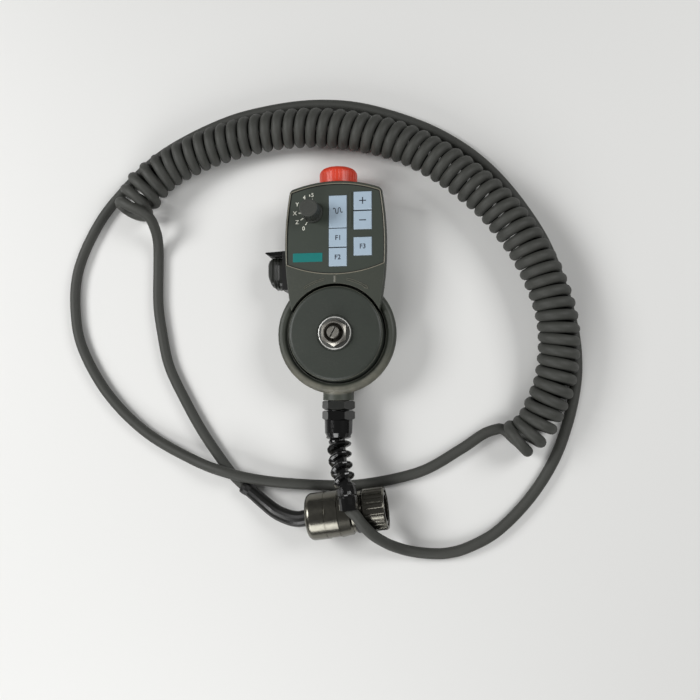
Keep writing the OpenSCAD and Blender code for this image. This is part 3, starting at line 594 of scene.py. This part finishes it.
def worn_and_lit_edges() -> bpy.types.NodeTree:
    """Masks of outer edges, for wear and a painted highlight, and of inner corners, for painted
    shade.
    """
    samples, corner_depth, least_scuffed = 6, 3 * MM, 0.35
    graph = EffectGraph("worn_and_lit_edges", {"Radius": 0.0006, "Amount": 0.5}, ["Edge", "CornerShade"])
    rounded = graph.node("Bevel", Radius=graph.given("Radius"))
    rounded.samples = samples
    surface = graph.node("NewGeometry").outputs["Normal"]
    turned = graph.inverse(graph.vector("DOT_PRODUCT", rounded.outputs["Normal"], surface))
    edge = graph.spread(turned, low=0.01, high=0.16)
    hidden = graph.node("AmbientOcclusion", Distance=corner_depth)
    hidden.samples = samples
    open_air = graph.spread(hidden.outputs["AO"], low=0.55, high=0.85)
    scuffs = graph.spread(graph.noise("scuffs", scale=190.0, detail=5.0), low=0.4, high=0.6)
    graph.give_mask("Edge", edge, open_air, graph.at_least(least_scuffed, scuffs))
    # Inner corners are marked for painted shade.
    graph.give("CornerShade", graph.inverse(graph.spread(hidden.outputs["AO"], low=0.1, high=0.7)))
    return graph.tree


def settled_dust() -> bpy.types.NodeTree:
    """Thin dust that settles on what faces up."""
    graph = EffectGraph("settled_dust", {"Amount": 0.2}, ["Dust"])
    normal = graph.node("NewGeometry").outputs["Normal"]
    upward = graph.node("SeparateXYZ", Vector=normal).outputs["Z"]
    level = graph.spread(upward, low=0.0, high=1.0)
    specks = graph.spread(graph.noise("specks", scale=900.0, detail=6.0), low=0.42, high=0.72)
    patches = graph.spread(graph.noise("patches", scale=60.0, detail=4.0), low=0.3, high=0.7)
    graph.give_mask("Dust", specks, patches, level)
    return graph.tree


def painted_rim_light() -> bpy.types.NodeTree:
    """Mask of a painted highlight on the wheel housing's lip, lighter on its lower side."""
    least_lit = 0.5
    graph = EffectGraph("painted_rim_light", {"Amount": 0.5}, ["PaintedLight"])
    split = graph.node("SeparateXYZ", Vector=graph.here()).outputs
    flat = graph.node("CombineXYZ", X=split["X"], Y=split["Y"]).outputs["Vector"]
    radius = graph.vector("LENGTH", flat)
    # The lip is painted lighter towards -Y: a painted highlight.
    low_side = graph.spread(graph.product(split["Y"], -1.0), low=0.0, high=0.044)
    past_well = graph.spread(radius, low=0.0375, high=0.0395)
    inside_wall = graph.inverse(graph.spread(radius, low=0.0430, high=0.0452))
    lit_patches = graph.spread(graph.noise("lit_patches", scale=150.0, detail=5.0), low=0.3, high=0.7)
    lip = graph.product(past_well, inside_wall)
    graph.give_mask("PaintedLight", low_side, lip, graph.at_least(least_lit, lit_patches))
    return graph.tree


class Paintshop:
    """Builds the shader node groups once, and the materials that use them."""

    coat_roughness = 0.22
    roughness_spread = 0.12
    # Painted shade: inner corners are darkened towards this grey by this share.
    corner_shade_strength = 0.75
    corner_shade_colour: Rgba = (0.12, 0.12, 0.12, 1.0)
    dust_colour: Colour = (120, 117, 108)
    dust_roughness = 0.5

    def __init__(self) -> None:
        """Starts with the groups and no materials."""
        self._made: dict[Finish, bpy.types.Material] = {}
        self._shade = cloudy_shade()
        self._grain = moulded_grain()
        self._turning = lathe_marks()
        self._edges = worn_and_lit_edges()
        self._dust = settled_dust()
        self._rim_light_group = painted_rim_light()

    def material(self, finish: Finish) -> bpy.types.Material:
        """Builds the material of a finish, or returns the one already built.

        Args:
            finish: The finish that the material shows.

        Returns:
            The finished material.
        """
        if finish in self._made:
            return self._made[finish]
        material = bpy.data.materials.new(finish.name)
        material.use_nodes = True
        graph = Graph(material.node_tree)
        shader = material.node_tree.nodes["Principled BSDF"].inputs
        shader["Metallic"].default_value = finish.metallic
        shader["Coat Weight"].default_value = finish.coat
        shader["Coat Roughness"].default_value = self.coat_roughness
        relief, speckle = self._relief(graph, finish)
        base = finish.roughness - self.roughness_spread / 2
        rough = graph.math("ADD", base, graph.product(speckle, self.roughness_spread))
        colour = self._worn_and_lit_colour(graph, finish)
        if finish.dust > 0:
            dust = graph.effect(self._dust, Amount=finish.dust).outputs["Dust"]
            colour = graph.blend("MIX", dust, colour, linear(self.dust_colour))
            rough = graph.math("ADD", rough, graph.product(dust, self.dust_roughness))
        graph.feed(shader["Base Color"], colour)
        graph.feed(shader["Roughness"], rough)
        if finish.grain_depth > 0:
            bump = graph.node("Bump", Strength=1.0, Distance=finish.grain_depth, Height=relief)
            graph.feed(shader["Normal"], bump.outputs["Normal"])
        self._made[finish] = material
        return material

    def _worn_and_lit_colour(self, graph: Graph, finish: Finish) -> Socket:
        """The finish's mottled colour, with a painted highlight on the housing's lip, edge marks of
        wear and painted highlight, and painted shade in corners.
        """
        shade = graph.effect(self._shade, Amount=finish.mottle).outputs["Shade"]
        grey = graph.node("CombineColor", Red=shade, Green=shade, Blue=shade)
        colour = graph.blend("MULTIPLY", 1.0, linear(finish.colour), grey.outputs["Color"])
        # Colour of edge wear, and of the painted highlights on edges and on the lip.
        bare = linear(finish.edge_colour)
        if finish.lip_light > 0:
            lit_lip = graph.effect(self._rim_light_group, Amount=finish.lip_light).outputs["PaintedLight"]
            colour = graph.blend("MIX", lit_lip, colour, bare)
        if finish.edge_wear > 0:
            edge_and_corner_marks = graph.effect(self._edges, Amount=finish.edge_wear, Radius=finish.edge_radius)
            colour = graph.blend("MIX", edge_and_corner_marks.outputs["Edge"], colour, bare)
            # Painted shade in inner corners.
            corner = graph.product(edge_and_corner_marks.outputs["CornerShade"], self.corner_shade_strength)
            colour = graph.blend("MULTIPLY", corner, colour, self.corner_shade_colour)
        return colour

    def _relief(self, graph: Graph, finish: Finish) -> tuple[Socket, Socket]:
        """Relief and speckle of a turned or a moulded surface."""
        if finish.turned:
            marks = graph.effect(self._turning, Axis=finish.axis, Centre=finish.centre)
            return marks.outputs["Height"], marks.outputs["Streak"]
        grain = graph.effect(self._grain, Scale=finish.grain_scale)
        return grain.outputs["Height"], grain.outputs["Speckle"]

    def dress(self, piece: Piece, finish: Finish) -> None:
        """Gives an object one material."""
        piece.data.materials.clear()
        piece.data.materials.append(self.material(finish))


# --- camera and room


@dataclass
class Studio:
    """Camera, pale floor and soft lamps."""

    camera_place: Point = (0.0890, -0.0483, 0.5735)
    right: Point = (0.98966683, -0.00091417, -0.14338316)
    up: Point = (0.01036415, 0.99782008, 0.06517416)
    back: Point = (0.14301101, -0.06598675, 0.98751891)
    field_of_view: float = 49.59
    nearest: float = 0.01
    farthest: float = 20.0
    floor_size: float = 2.4
    floor_drop: float = 0.1 * MM
    floor_colour: Colour = (226, 226, 224)
    floor_roughness: float = 0.7
    room_light: float = 0.14
    backdrop: float = 0.8
    # Name, place, size and power of each lamp. All of them face the origin.
    lamps: tuple[tuple[str, Point, float, float], ...] = (
        ("key_lamp", (-0.90, 0.20, 0.85), 0.5, 9.4),
        ("front_lamp", (-0.25, -0.85, 0.60), 0.55, 5.2),
        ("rear_lamp", (0.85, 0.35, 0.85), 0.5, 6.1),
    )

    def build(self) -> None:
        """Makes the camera, the floor and the lights."""
        self._camera()
        self._floor()
        for lamp in self.lamps:
            self._lamp(*lamp)
        self._room()
        bpy.context.scene.view_settings.view_transform = "Standard"

    def _camera(self) -> None:
        """Stands the camera above the face, looking down on it."""
        lens = bpy.data.cameras.new("camera")
        lens.angle = math.radians(self.field_of_view)
        lens.clip_start = self.nearest
        lens.clip_end = self.farthest
        camera = put("camera", lens)
        turn = Matrix((self.right, self.up, self.back)).transposed().to_4x4()
        camera.matrix_world = Matrix.Translation(self.camera_place) @ turn
        bpy.context.scene.camera = camera

    def _floor(self) -> None:
        """Lays the pale floor that the object lies on."""
        half = self.floor_size / 2
        signs = ((-1, -1), (1, -1), (1, 1), (-1, 1))
        corners = [Vector((x * half, y * half, -self.floor_drop)) for x, y in signs]
        floor = mesh_piece("floor", corners, [[0, 1, 2, 3]])
        material = bpy.data.materials.new("pale_floor")
        material.use_nodes = True
        shader = material.node_tree.nodes["Principled BSDF"].inputs
        shader["Base Color"].default_value = linear(self.floor_colour)
        shader["Roughness"].default_value = self.floor_roughness
        floor.data.materials.append(material)

    def _lamp(self, name: str, place: Point, size: float, power: float) -> None:
        """Hangs one square lamp."""
        light = bpy.data.lights.new(name, "AREA")
        light.shape = "SQUARE"
        light.size = size
        light.energy = power
        lamp = put(name, light)
        lamp.location = place
        lamp.rotation_euler = (-Vector(place)).to_track_quat("-Z", "Y").to_euler()

    def _room(self) -> None:
        """Fills the room with faint light, and shows the camera a brighter backdrop."""
        world = bpy.data.worlds.new("soft_room")
        world.use_nodes = True
        graph = Graph(world.node_tree)
        sky = world.node_tree.nodes["Background"].inputs
        sky["Color"].default_value = (1.0, 1.0, 1.0, 1.0)
        seen = graph.node("LightPath").outputs["Is Camera Ray"]
        strength = graph.node("Math", seen, self.backdrop - self.room_light, self.room_light)
        strength.operation = "MULTIPLY_ADD"
        graph.feed(sky["Strength"], strength.outputs[0])
        bpy.context.scene.world = world


# --- cable

# Height in millimetres of the cable's middle where it lies on the floor.
RESTING = 4.1
HANDSET_ROUTE = metres([
    (10.8, -124.6, 39.8), (13.2, -127.2, 39.8), (15.5, -129.2, 39.6), (19.2, -134.6, 38.2),
    (22.7, -139.1, 35.4), (25.7, -143, 31.4), (28.8, -146.5, 26.6), (34.2, -151.1, 19.5),
    (39.4, -154.7, 13), (50.6, -159.2, 6), (66, -161.1), (80, -160.2), (95, -155.4),
    (115.4, -143.4), (138, -120), (155.4, -93), (166, -65.5), (172, -39.5), (173.4, -19),
    (171.6, 2), (164.5, 33), (148, 76), (115, 122.5), (75, 154), (25, 175), (-15, 182),
    (-56, 180), (-98, 170.5), (-147, 147), (-183.5, 113.5), (-203, 86), (-215.5, 55),
    (-217, 24), (-210, -7), (-188, -43), (-156, -73), (-118, -93, 7.4), (-87, -103, 13.7),
    (-56, -109.5, 9), (-15, -112.4), (18, -111), (59, -101.5), (88.5, -85),
    (106, -73.2, 4.3), (116.5, -69.4, 5),
], RESTING)
COIL_ROUTE = metres([
    (129.4, -76.4, 15), (138.6, -70.2, 15), (145.4, -61.3, 15), (150.6, -50, 15),
    (155.8, -37, 15.6), (158.8, -19, 16.6), (159.4, -2, 18.2), (157.8, 12, 19.2),
    (154, 27, 19.5), (146.3, 47, 19.5), (135.2, 67.6, 19.5), (115.4, 94.4, 18.5),
    (94.8, 114.2, 17), (74, 130.2, 16), (41.6, 147.4, 15), (-5, 158.6, 15),
    (-50, 159.4, 15), (-95, 150.4, 15), (-129, 136.5, 16), (-145, 125, 17.5),
    (-156, 111.5, 17.5), (-162.5, 102.5, 17),
])
CONNECTOR_ROUTE = metres([
    (-147.9, 93.6, 25), (-146.3, 90.8, 22), (-145.6, 86.6, 18), (-145.6, 81, 12.5),
    (-146.4, 74.1, 7.5), (-147.3, 66.3, 4.6), (-147.4, 55.1), (-147, 28), (-143.5, 5),
    (-137, -22), (-123, -49.6), (-109.6, -72.2), (-95, -92.6), (-84, -106, 4.5),
    (-75, -113.5, 6),
], RESTING)


@dataclass
class Builder:
    """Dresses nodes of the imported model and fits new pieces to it."""

    paint: Paintshop
    nodes: dict[str, Piece]

    def fit(self, piece: Piece, finish: Finish, body: str, slot: str, note: str) -> None:
        """Dresses a new piece and lets it ride on a body."""
        self.paint.dress(piece, finish)
        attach(piece, body)
        LOG.info("%s: %s", piece.name, note)


@dataclass(frozen=True)
class Lean:
    """How the turns near one of the coil's ends lean out of square.

    It holds the most that a turn leans, how many turns lean, and the angle that leans most.
    """

    most: float
    turns: float
    peak: float

    def at(self, from_end: float, angle: float) -> float:
        """Offset along the coil, so many turns from its end and at an angle round it."""
        if from_end >= self.turns:
            return 0.0
        x = from_end / self.turns
        share = 0.5 + 0.5 * math.cos(angle - math.radians(self.peak))
        return self.most * (1 - x * x * (3 - 2 * x)) * share


@dataclass
class CurlyLead(Builder):
    """The cable: a run from the handset round the coil, the coil, the connector's run."""

    diameter: float = 8 * MM
    declared_length: float = 5.5
    sides: int = 14
    ring_gap: float = 2.6 * MM
    floor_gap: float = 0.05 * MM
    run_steps: int = 10
    # The coil's mean radius, and its pitch in millimetres by the share of its length.
    coil_radius: float = 11 * MM
    pitches: Table = ((0.0, 8.15), (0.22, 8.5), (0.4, 8.95), (1.0, 8.95))
    tightest_gap: float = 6.5 * MM
    points_per_turn: int = 24
    axis_steps: int = 24
    axis_gap: float = 0.4 * MM
    bend_reach: int = 12
    heading_reach: int = 8
    lean_start: Lean = Lean(6.2 * MM, 9.0, -55.0)
    lean_end: Lean = Lean(10.0 * MM, 3.0, 165.0)
    # Extra radius in millimetres by the number of turns from the coil's end.
    swell: Table = ((0.0, 0.2), (0.25, 0.3), (1.25, 1.3), (2.25, 1.4), (3.6, 0.0))

    def _turns_along(self, axis: Sequence[Vector]) -> list[float]:
        """Counts the coil's turns up to each point of its axis.

        The turns open where the axis bends, so that they never run into each other
        on the inside of the bend.
        """
        raw = [0.0]
        for i in range(1, len(axis)):
            before = axis[max(i - self.bend_reach, 0)]
            after = axis[min(i + self.bend_reach, len(axis) - 1)]
            arriving, leaving = axis[i] - before, after - axis[i]
            straight = min(arriving.length, leaving.length) <= TINY
            bend = 0.0 if straight else arriving.angle(leaving)
            curvature = bend / max((arriving.length + leaving.length) / 2, TINY)
            loosest = stepped(self.pitches, i / len(axis)) * MM
            pitch = max(loosest, self.tightest_gap / (1 - self.coil_radius * curvature))
            raw.append(raw[-1] + (axis[i] - axis[i - 1]).length / pitch)
        whole = math.floor(raw[-1]) + 0.5
        return [n * whole / raw[-1] for n in raw]

    def coil_path(self) -> list[Vector]:
        """Winds the coil round its axis, left-handed, from its lowest point to its top."""
        axis = even_spacing(smooth_route(COIL_ROUTE, self.axis_steps), self.axis_gap)
        turns = self._turns_along(axis)
        total = turns[-1]
        wound: list[Vector] = []
        i = 0
        count = round(total * self.points_per_turn)
        for k in range(count + 1):
            n = total * k / count
            while i < len(axis) - 2 and turns[i + 1] < n:
                i += 1
            part = (n - turns[i]) / (turns[i + 1] - turns[i])
            centre = axis[i].lerp(axis[i + 1], min(max(part, 0.0), 1.0))
            ahead = heading(axis, i, self.heading_reach)
            side = ahead.cross(Vector((0.0, 0.0, 1.0))).normalized()
            above = side.cross(ahead)
            angle = math.pi - 2 * math.pi * n
            swell = stepped(self.swell, total - n) * MM
            lean = self.lean_end.at(total - n, angle) - self.lean_start.at(n, angle)
            out = math.cos(angle) * above + math.sin(angle) * side
            wound.append(centre + (self.coil_radius + swell) * out + swell * side + lean * ahead)
        LOG.info("coil: %.1f turns", total)
        return wound

    def path(self) -> list[Vector]:
        """Follows the cable from the bend relief to the connector's sleeve."""
        first = smooth_route(HANDSET_ROUTE, self.run_steps)
        coil = self.coil_path()
        last = smooth_route(CONNECTOR_ROUTE, self.run_steps)
        into = bridge(first, coil, leave=14, arrive=16, steps=14)
        out = bridge(coil, last, leave=12, arrive=12, steps=8)
        path = even_spacing(first + into + coil + out + last, self.ring_gap)
        for point in path:
            point.z = max(point.z, self.diameter / 2 + self.floor_gap)
        return path

    def build(self) -> None:
        path = self.path()
        jacket = swept_tube("cable_jacket", path, self.diameter / 2, self.sides)
        self.fit(jacket, JACKET, "handset", "cable", f"{path_length(path):.2f} m of cable")
        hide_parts("handset_lead", "cable_coil", "connector_lead")


# --- handset


@dataclass
class PackedNodes(Builder):
    """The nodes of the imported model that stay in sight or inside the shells."""

    def build(self) -> None:
        """Dresses every node that has a finish."""
        for finish, names in NODE_FINISHES.items():
            for name in names.split():
                self.paint.dress(self.nodes[name], finish)


@dataclass
class FaceMarks(Builder):
    """Moulded marks above the wheel, painted shade and highlight lines round the panel's edge, and
    the blank plate.
    """

    face_z: float = 35 * MM
    panel_z: float = 34.2 * MM
    # How far a line reaches into the face, so that no gap shows under it.
    sink: float = 0.05 * MM
    rib_height: float = 0.4 * MM
    arc_steps: int = 18
    arc_width: float = 0.5 * MM
    # Name, first angle, last angle and radius in millimetres.
    arcs: tuple[tuple[str, float, float, float], ...] = (
        ("turn_arc_left", 101, 125, 39.6), ("turn_arc_left_outer", 101, 125, 40.9),
        ("turn_arc_right", 78, 54, 39.6), ("turn_arc_right_outer", 78, 54, 40.9),
    )
    tip_radius: float = 40.2 * MM
    tip_angle: float = 53
    barbs: tuple[tuple[str, float], ...] = (("arrowhead_upper", 118), ("arrowhead_lower", 170))
    barb_width: float = 0.6 * MM
    marker_width: float = 2.0 * MM
    # In millimetres: the barbs' length, and the marker's points along Y.
    barb_length: float = 3.2
    marker_steps: Point = (37.2, 39.5, 41.9)
    # Centre and radius in millimetres of each arc that bounds the panel.
    outline_arcs: tuple[Point, ...] = (
        (0.0, 15.5, 93.9), (197.3, 65, 232.9), (-197.3, 65, 232.9), (0.0, 136.0, 92.0),
    )
    outline_middle: tuple[float, float] = (0.0, 78.0 * MM)
    outline_points: int = 240
    # Two opposite corners of the plate, in millimetres.
    plate_low: Point = (-31.4, 52.6, 34.15)
    plate_high: Point = (-9.4, 59.2, 34.45)
    plate_rounding: float = 0.12 * MM

    def build(self) -> None:
        """Lays the marks, the lines and the plate on the face."""
        self._turn_arrows()
        self._panel_edge()
        self._blank_plate()

    def _rib(self, name: str, line: Sequence[Vector], width: float) -> None:
        """Moulds one fine rib onto the face."""
        rib = flat_ribbon(name, line, width, self.rib_height, ROUND_SECTION)
        self.fit(rib, MARK_HIGHLIGHT, "handset", "housing", "moulded rib")

    def _turn_arrows(self) -> None:
        """Two moulded arcs above the wheel, one with an arrowhead, and a marker rib."""
        z = self.face_z - self.sink
        for name, start, end, radius in self.arcs:
            angles = [start + (end - start) * k / self.arc_steps for k in range(self.arc_steps + 1)]
            line = [around(radius * MM, math.radians(angle), z) for angle in angles]
            self._rib(name, line, self.arc_width)
        tip = around(self.tip_radius, math.radians(self.tip_angle), z)
        for name, turn in self.barbs:
            away = around(1.0, math.radians(turn)) * self.barb_length * MM
            self._rib(name, [tip, tip + away * 0.5, tip + away], self.barb_width)
        marker = [Vector((0.0, y * MM, z)) for y in self.marker_steps]
        self._rib("zero_marker", marker, self.marker_width)

    def _panel_outline(self, grow: float, z: float) -> list[Vector]:
        """Traces the panel's outline, which four arcs bound.

        Args:
            grow: How far outside the panel's own edge the line runs.
            z: The line's height.

        Returns:
            The closed line, its first point again at its end.
        """
        middle = Vector(self.outline_middle)
        line = []
        for k in range(self.outline_points + 1):
            turn = math.tau * k / self.outline_points
            ray = Vector((math.cos(turn), math.sin(turn)))
            reach = []
            for x, y, r in self.outline_arcs:
                to_middle = middle - Vector((x, y)) * MM
                along = to_middle.dot(ray)
                inside = along**2 - to_middle.length_squared + (r * MM + grow) ** 2
                reach.append(math.sqrt(inside) - along)
            line.append((middle + ray * min(reach)).to_3d() + Vector((0.0, 0.0, z)))
        return line

    def _panel_edge(self) -> None:
        """Lays a painted shade line in the gap round the panel and a painted highlight on the lip
        beside it.
        """
        lip_z = self.face_z - self.sink
        for name, grow, z, width, height, finish, slot in (
            ("panel_gap_shade", 0.1 * MM, self.panel_z, 0.6 * MM, 0.04 * MM, GAP_SHADE, "panel"),
            ("recess_lip_highlight", 0.75 * MM, lip_z, 0.55 * MM, 0.15 * MM, LIP_HIGHLIGHT, "housing"),
        ):
            outline = self._panel_outline(grow, z)
            line = flat_ribbon(name, outline, width, height, ROUND_SECTION)
            self.fit(line, finish, "handset", slot, "line round the panel")

    def _blank_plate(self) -> None:
        """A plain coloured plate in the lower left corner of the panel."""
        low, high = metres((self.plate_low, self.plate_high))
        corners = [
            Vector((x, y, z)) for z in (low.z, high.z) for x, y in
            ((low.x, low.y), (high.x, low.y), (high.x, high.y), (low.x, high.y))
        ]
        sides = [[k, (k + 1) % 4, (k + 1) % 4 + 4, k + 4] for k in range(4)]
        plate = mesh_piece("blank_plate", corners, [[3, 2, 1, 0], [4, 5, 6, 7], *sides])
        soften = plate.modifiers.new("soft_edges", "BEVEL")
        soften.width = self.plate_rounding
        soften.segments = 2
        plate.data.shade_flat()
        self.fit(plate, BLANK_PLATE, "handset", "panel", "blank name plate")


@dataclass
class Keypad(Builder):
    """The printed legends of the keys."""

    top: float = 34.6 * MM
    print_depth: float = 0.08 * MM
    letter_height: float = 3.4 * MM
    sign_reach: float = 2.5 * MM
    sign_width: float = 0.75 * MM
    wave_width: float = 0.6 * MM
    wave_steps: int = 5
    # The wave's middle, in millimetres.
    wave_middle: tuple[float, float] = (2.0, 90.0)
    # Key, its legend, and the legend's middle in millimetres.
    legends: tuple[tuple[str, str, float, float], ...] = (
        ("key_f1", "F1", 2.0, 70.0), ("key_f2", "F2", 2.0, 55.7), ("key_f3", "F3", 20.3, 63.2),
        ("key_plus", "+", 20.3, 96.8), ("key_minus", "-", 20.3, 82.4),
    )

    def build(self) -> None:
        """Prints on the keys."""
        for node, words, x, y in self.legends:
            centre = self._on_top(x, y)
            if words in "+-":
                self._sign(node, words, centre)
                continue
            name = "legend_" + node
            self._ink(lettering(name, words, self.letter_height, centre, self.print_depth), node)
        self._wave()

    def _on_top(self, x: float, y: float) -> Vector:
        """The point on top of the keys at a place in millimetres."""
        return Vector((x * MM, y * MM, self.top))

    def _ink(self, legend: Piece, node: str) -> None:
        """Inks a legend and lets it move with its key."""
        self.fit(legend, DARK_INK, node, "key", "printed legend")

    def _sign(self, node: str, sign: str, centre: Vector) -> None:
        """Prints a plus or a minus as bars."""
        bars = {"across": Vector((self.sign_reach, 0.0, 0.0))}
        if sign == "+":
            bars["up"] = Vector((0.0, self.sign_reach, 0.0))
        for label, reach in bars.items():
            line = [centre - reach, centre, centre + reach]
            name = f"legend_{node}_{label}"
            self._ink(flat_ribbon(name, line, self.sign_width, self.print_depth), node)

    def _wave(self) -> None:
        """Prints the double wave of the rapid key."""
        shape = metres([
            (-3.4, 0.9), (-2.9, 1.7), (-2.1, 1.6), (-1.7, 0.6), (-1.5, -0.8), (-1.2, -1.9),
            (-0.3, -2.2), (0.2, -1.3), (0.3, 0.2), (0.5, 1.6), (1.3, 2.1), (1.9, 1.3),
            (2.0, 0.0), (2.3, -1.1), (3.0, -1.5), (3.5, -1.0),
        ])
        centre = self._on_top(*self.wave_middle)
        line = [centre + p for p in smooth_route(shape, self.wave_steps)]
        wave = flat_ribbon("legend_key_rapid", line, self.wave_width, self.print_depth)
        self._ink(wave, "key_rapid")


@dataclass
class Dial(Builder):
    """The axis selector's dial, printed on the panel."""

    centre: Point = (-16.9 * MM, 89.1 * MM, 34.2 * MM)
    print_depth: float = 0.06 * MM
    legend_radius: float = 13.2 * MM
    legend_height: float = 2.8 * MM
    tick_radii: Point = (7.9 * MM, 9.0 * MM, 10.4 * MM)
    tick_width: float = 0.7 * MM
    bar_angle: float = 99.0
    bar_inward: float = 0.9 * MM
    bar_outward: float = 0.6 * MM
    bar_width: float = 0.8 * MM
    # Sign and angle of each place.
    places: tuple[tuple[str, float], ...] = (
        ("0", 240), ("Z", 210), ("X", 180), ("Y", 150), ("4", 118), ("5", 90),
    )

    def build(self) -> None:
        """Prints the dial's bar, signs and ticks."""
        middle = Vector(self.centre)
        radius = self.legend_radius
        self._line(
            "dial_bar", self.bar_angle,
            (radius - self.bar_inward, radius, radius + self.bar_outward), self.bar_width,
        )
        for sign, angle in self.places:
            place = middle + around(1.0, math.radians(angle)) * radius
            name = "dial_" + sign
            self._ink(lettering(name, sign, self.legend_height, place, self.print_depth))
            self._line("dial_tick_" + sign, angle, self.tick_radii, self.tick_width)

    def _line(self, name: str, angle: float, radii: Sequence[float], width: float) -> None:
        """Prints a short line that points away from the dial's middle."""
        middle, out = Vector(self.centre), around(1.0, math.radians(angle))
        points = [middle + out * radius for radius in radii]
        self._ink(flat_ribbon(name, points, width, self.print_depth))

    def _ink(self, piece: Piece) -> None:
        """Inks a print that stays on the panel."""
        self.fit(piece, WHITE_INK, "handset", "panel", "dial print")


@dataclass
class HighlightRings(Builder):
    """Painted highlight rings, laid as fine raised lines on the handwheel's rim and on its washer.
    """

    ring_points: int = 120
    ring_height: float = 0.14 * MM

    def build(self) -> None:
        """Lays both rings."""
        self._ring("wheel_rim_highlight", 34.10 * MM, 34.36 * MM, 0.32 * MM, MARK_HIGHLIGHT, "wheel")
        self._ring("washer_rim_highlight", 11.5 * MM, 36.76 * MM, 0.8 * MM, RIM_HIGHLIGHT, "nickel")

    def _ring(
        self, name: str, radius: float, z: float, width: float, finish: Finish, slot: str
    ) -> None:
        """Lays one raised ring round the wheel's axis, on the surface at height z."""
        turns = [math.tau * k / self.ring_points for k in range(self.ring_points + 1)]
        line = [around(radius, turn, z) for turn in turns]
        ring = flat_ribbon(name, line, width, self.ring_height, ROUND_SECTION)
        self.fit(ring, finish, "wheel", slot, "fine ring")


def main() -> None:
    """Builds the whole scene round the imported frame."""
    logging.basicConfig(level=logging.INFO, format="%(message)s")
    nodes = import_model()["nodes"]
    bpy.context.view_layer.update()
    Studio().build()
    paint = Paintshop()
    for builder in (PackedNodes, CurlyLead, FaceMarks, Keypad, Dial, HighlightRings):
        builder(paint, nodes).build()


if __name__ == "__main__":
    main()
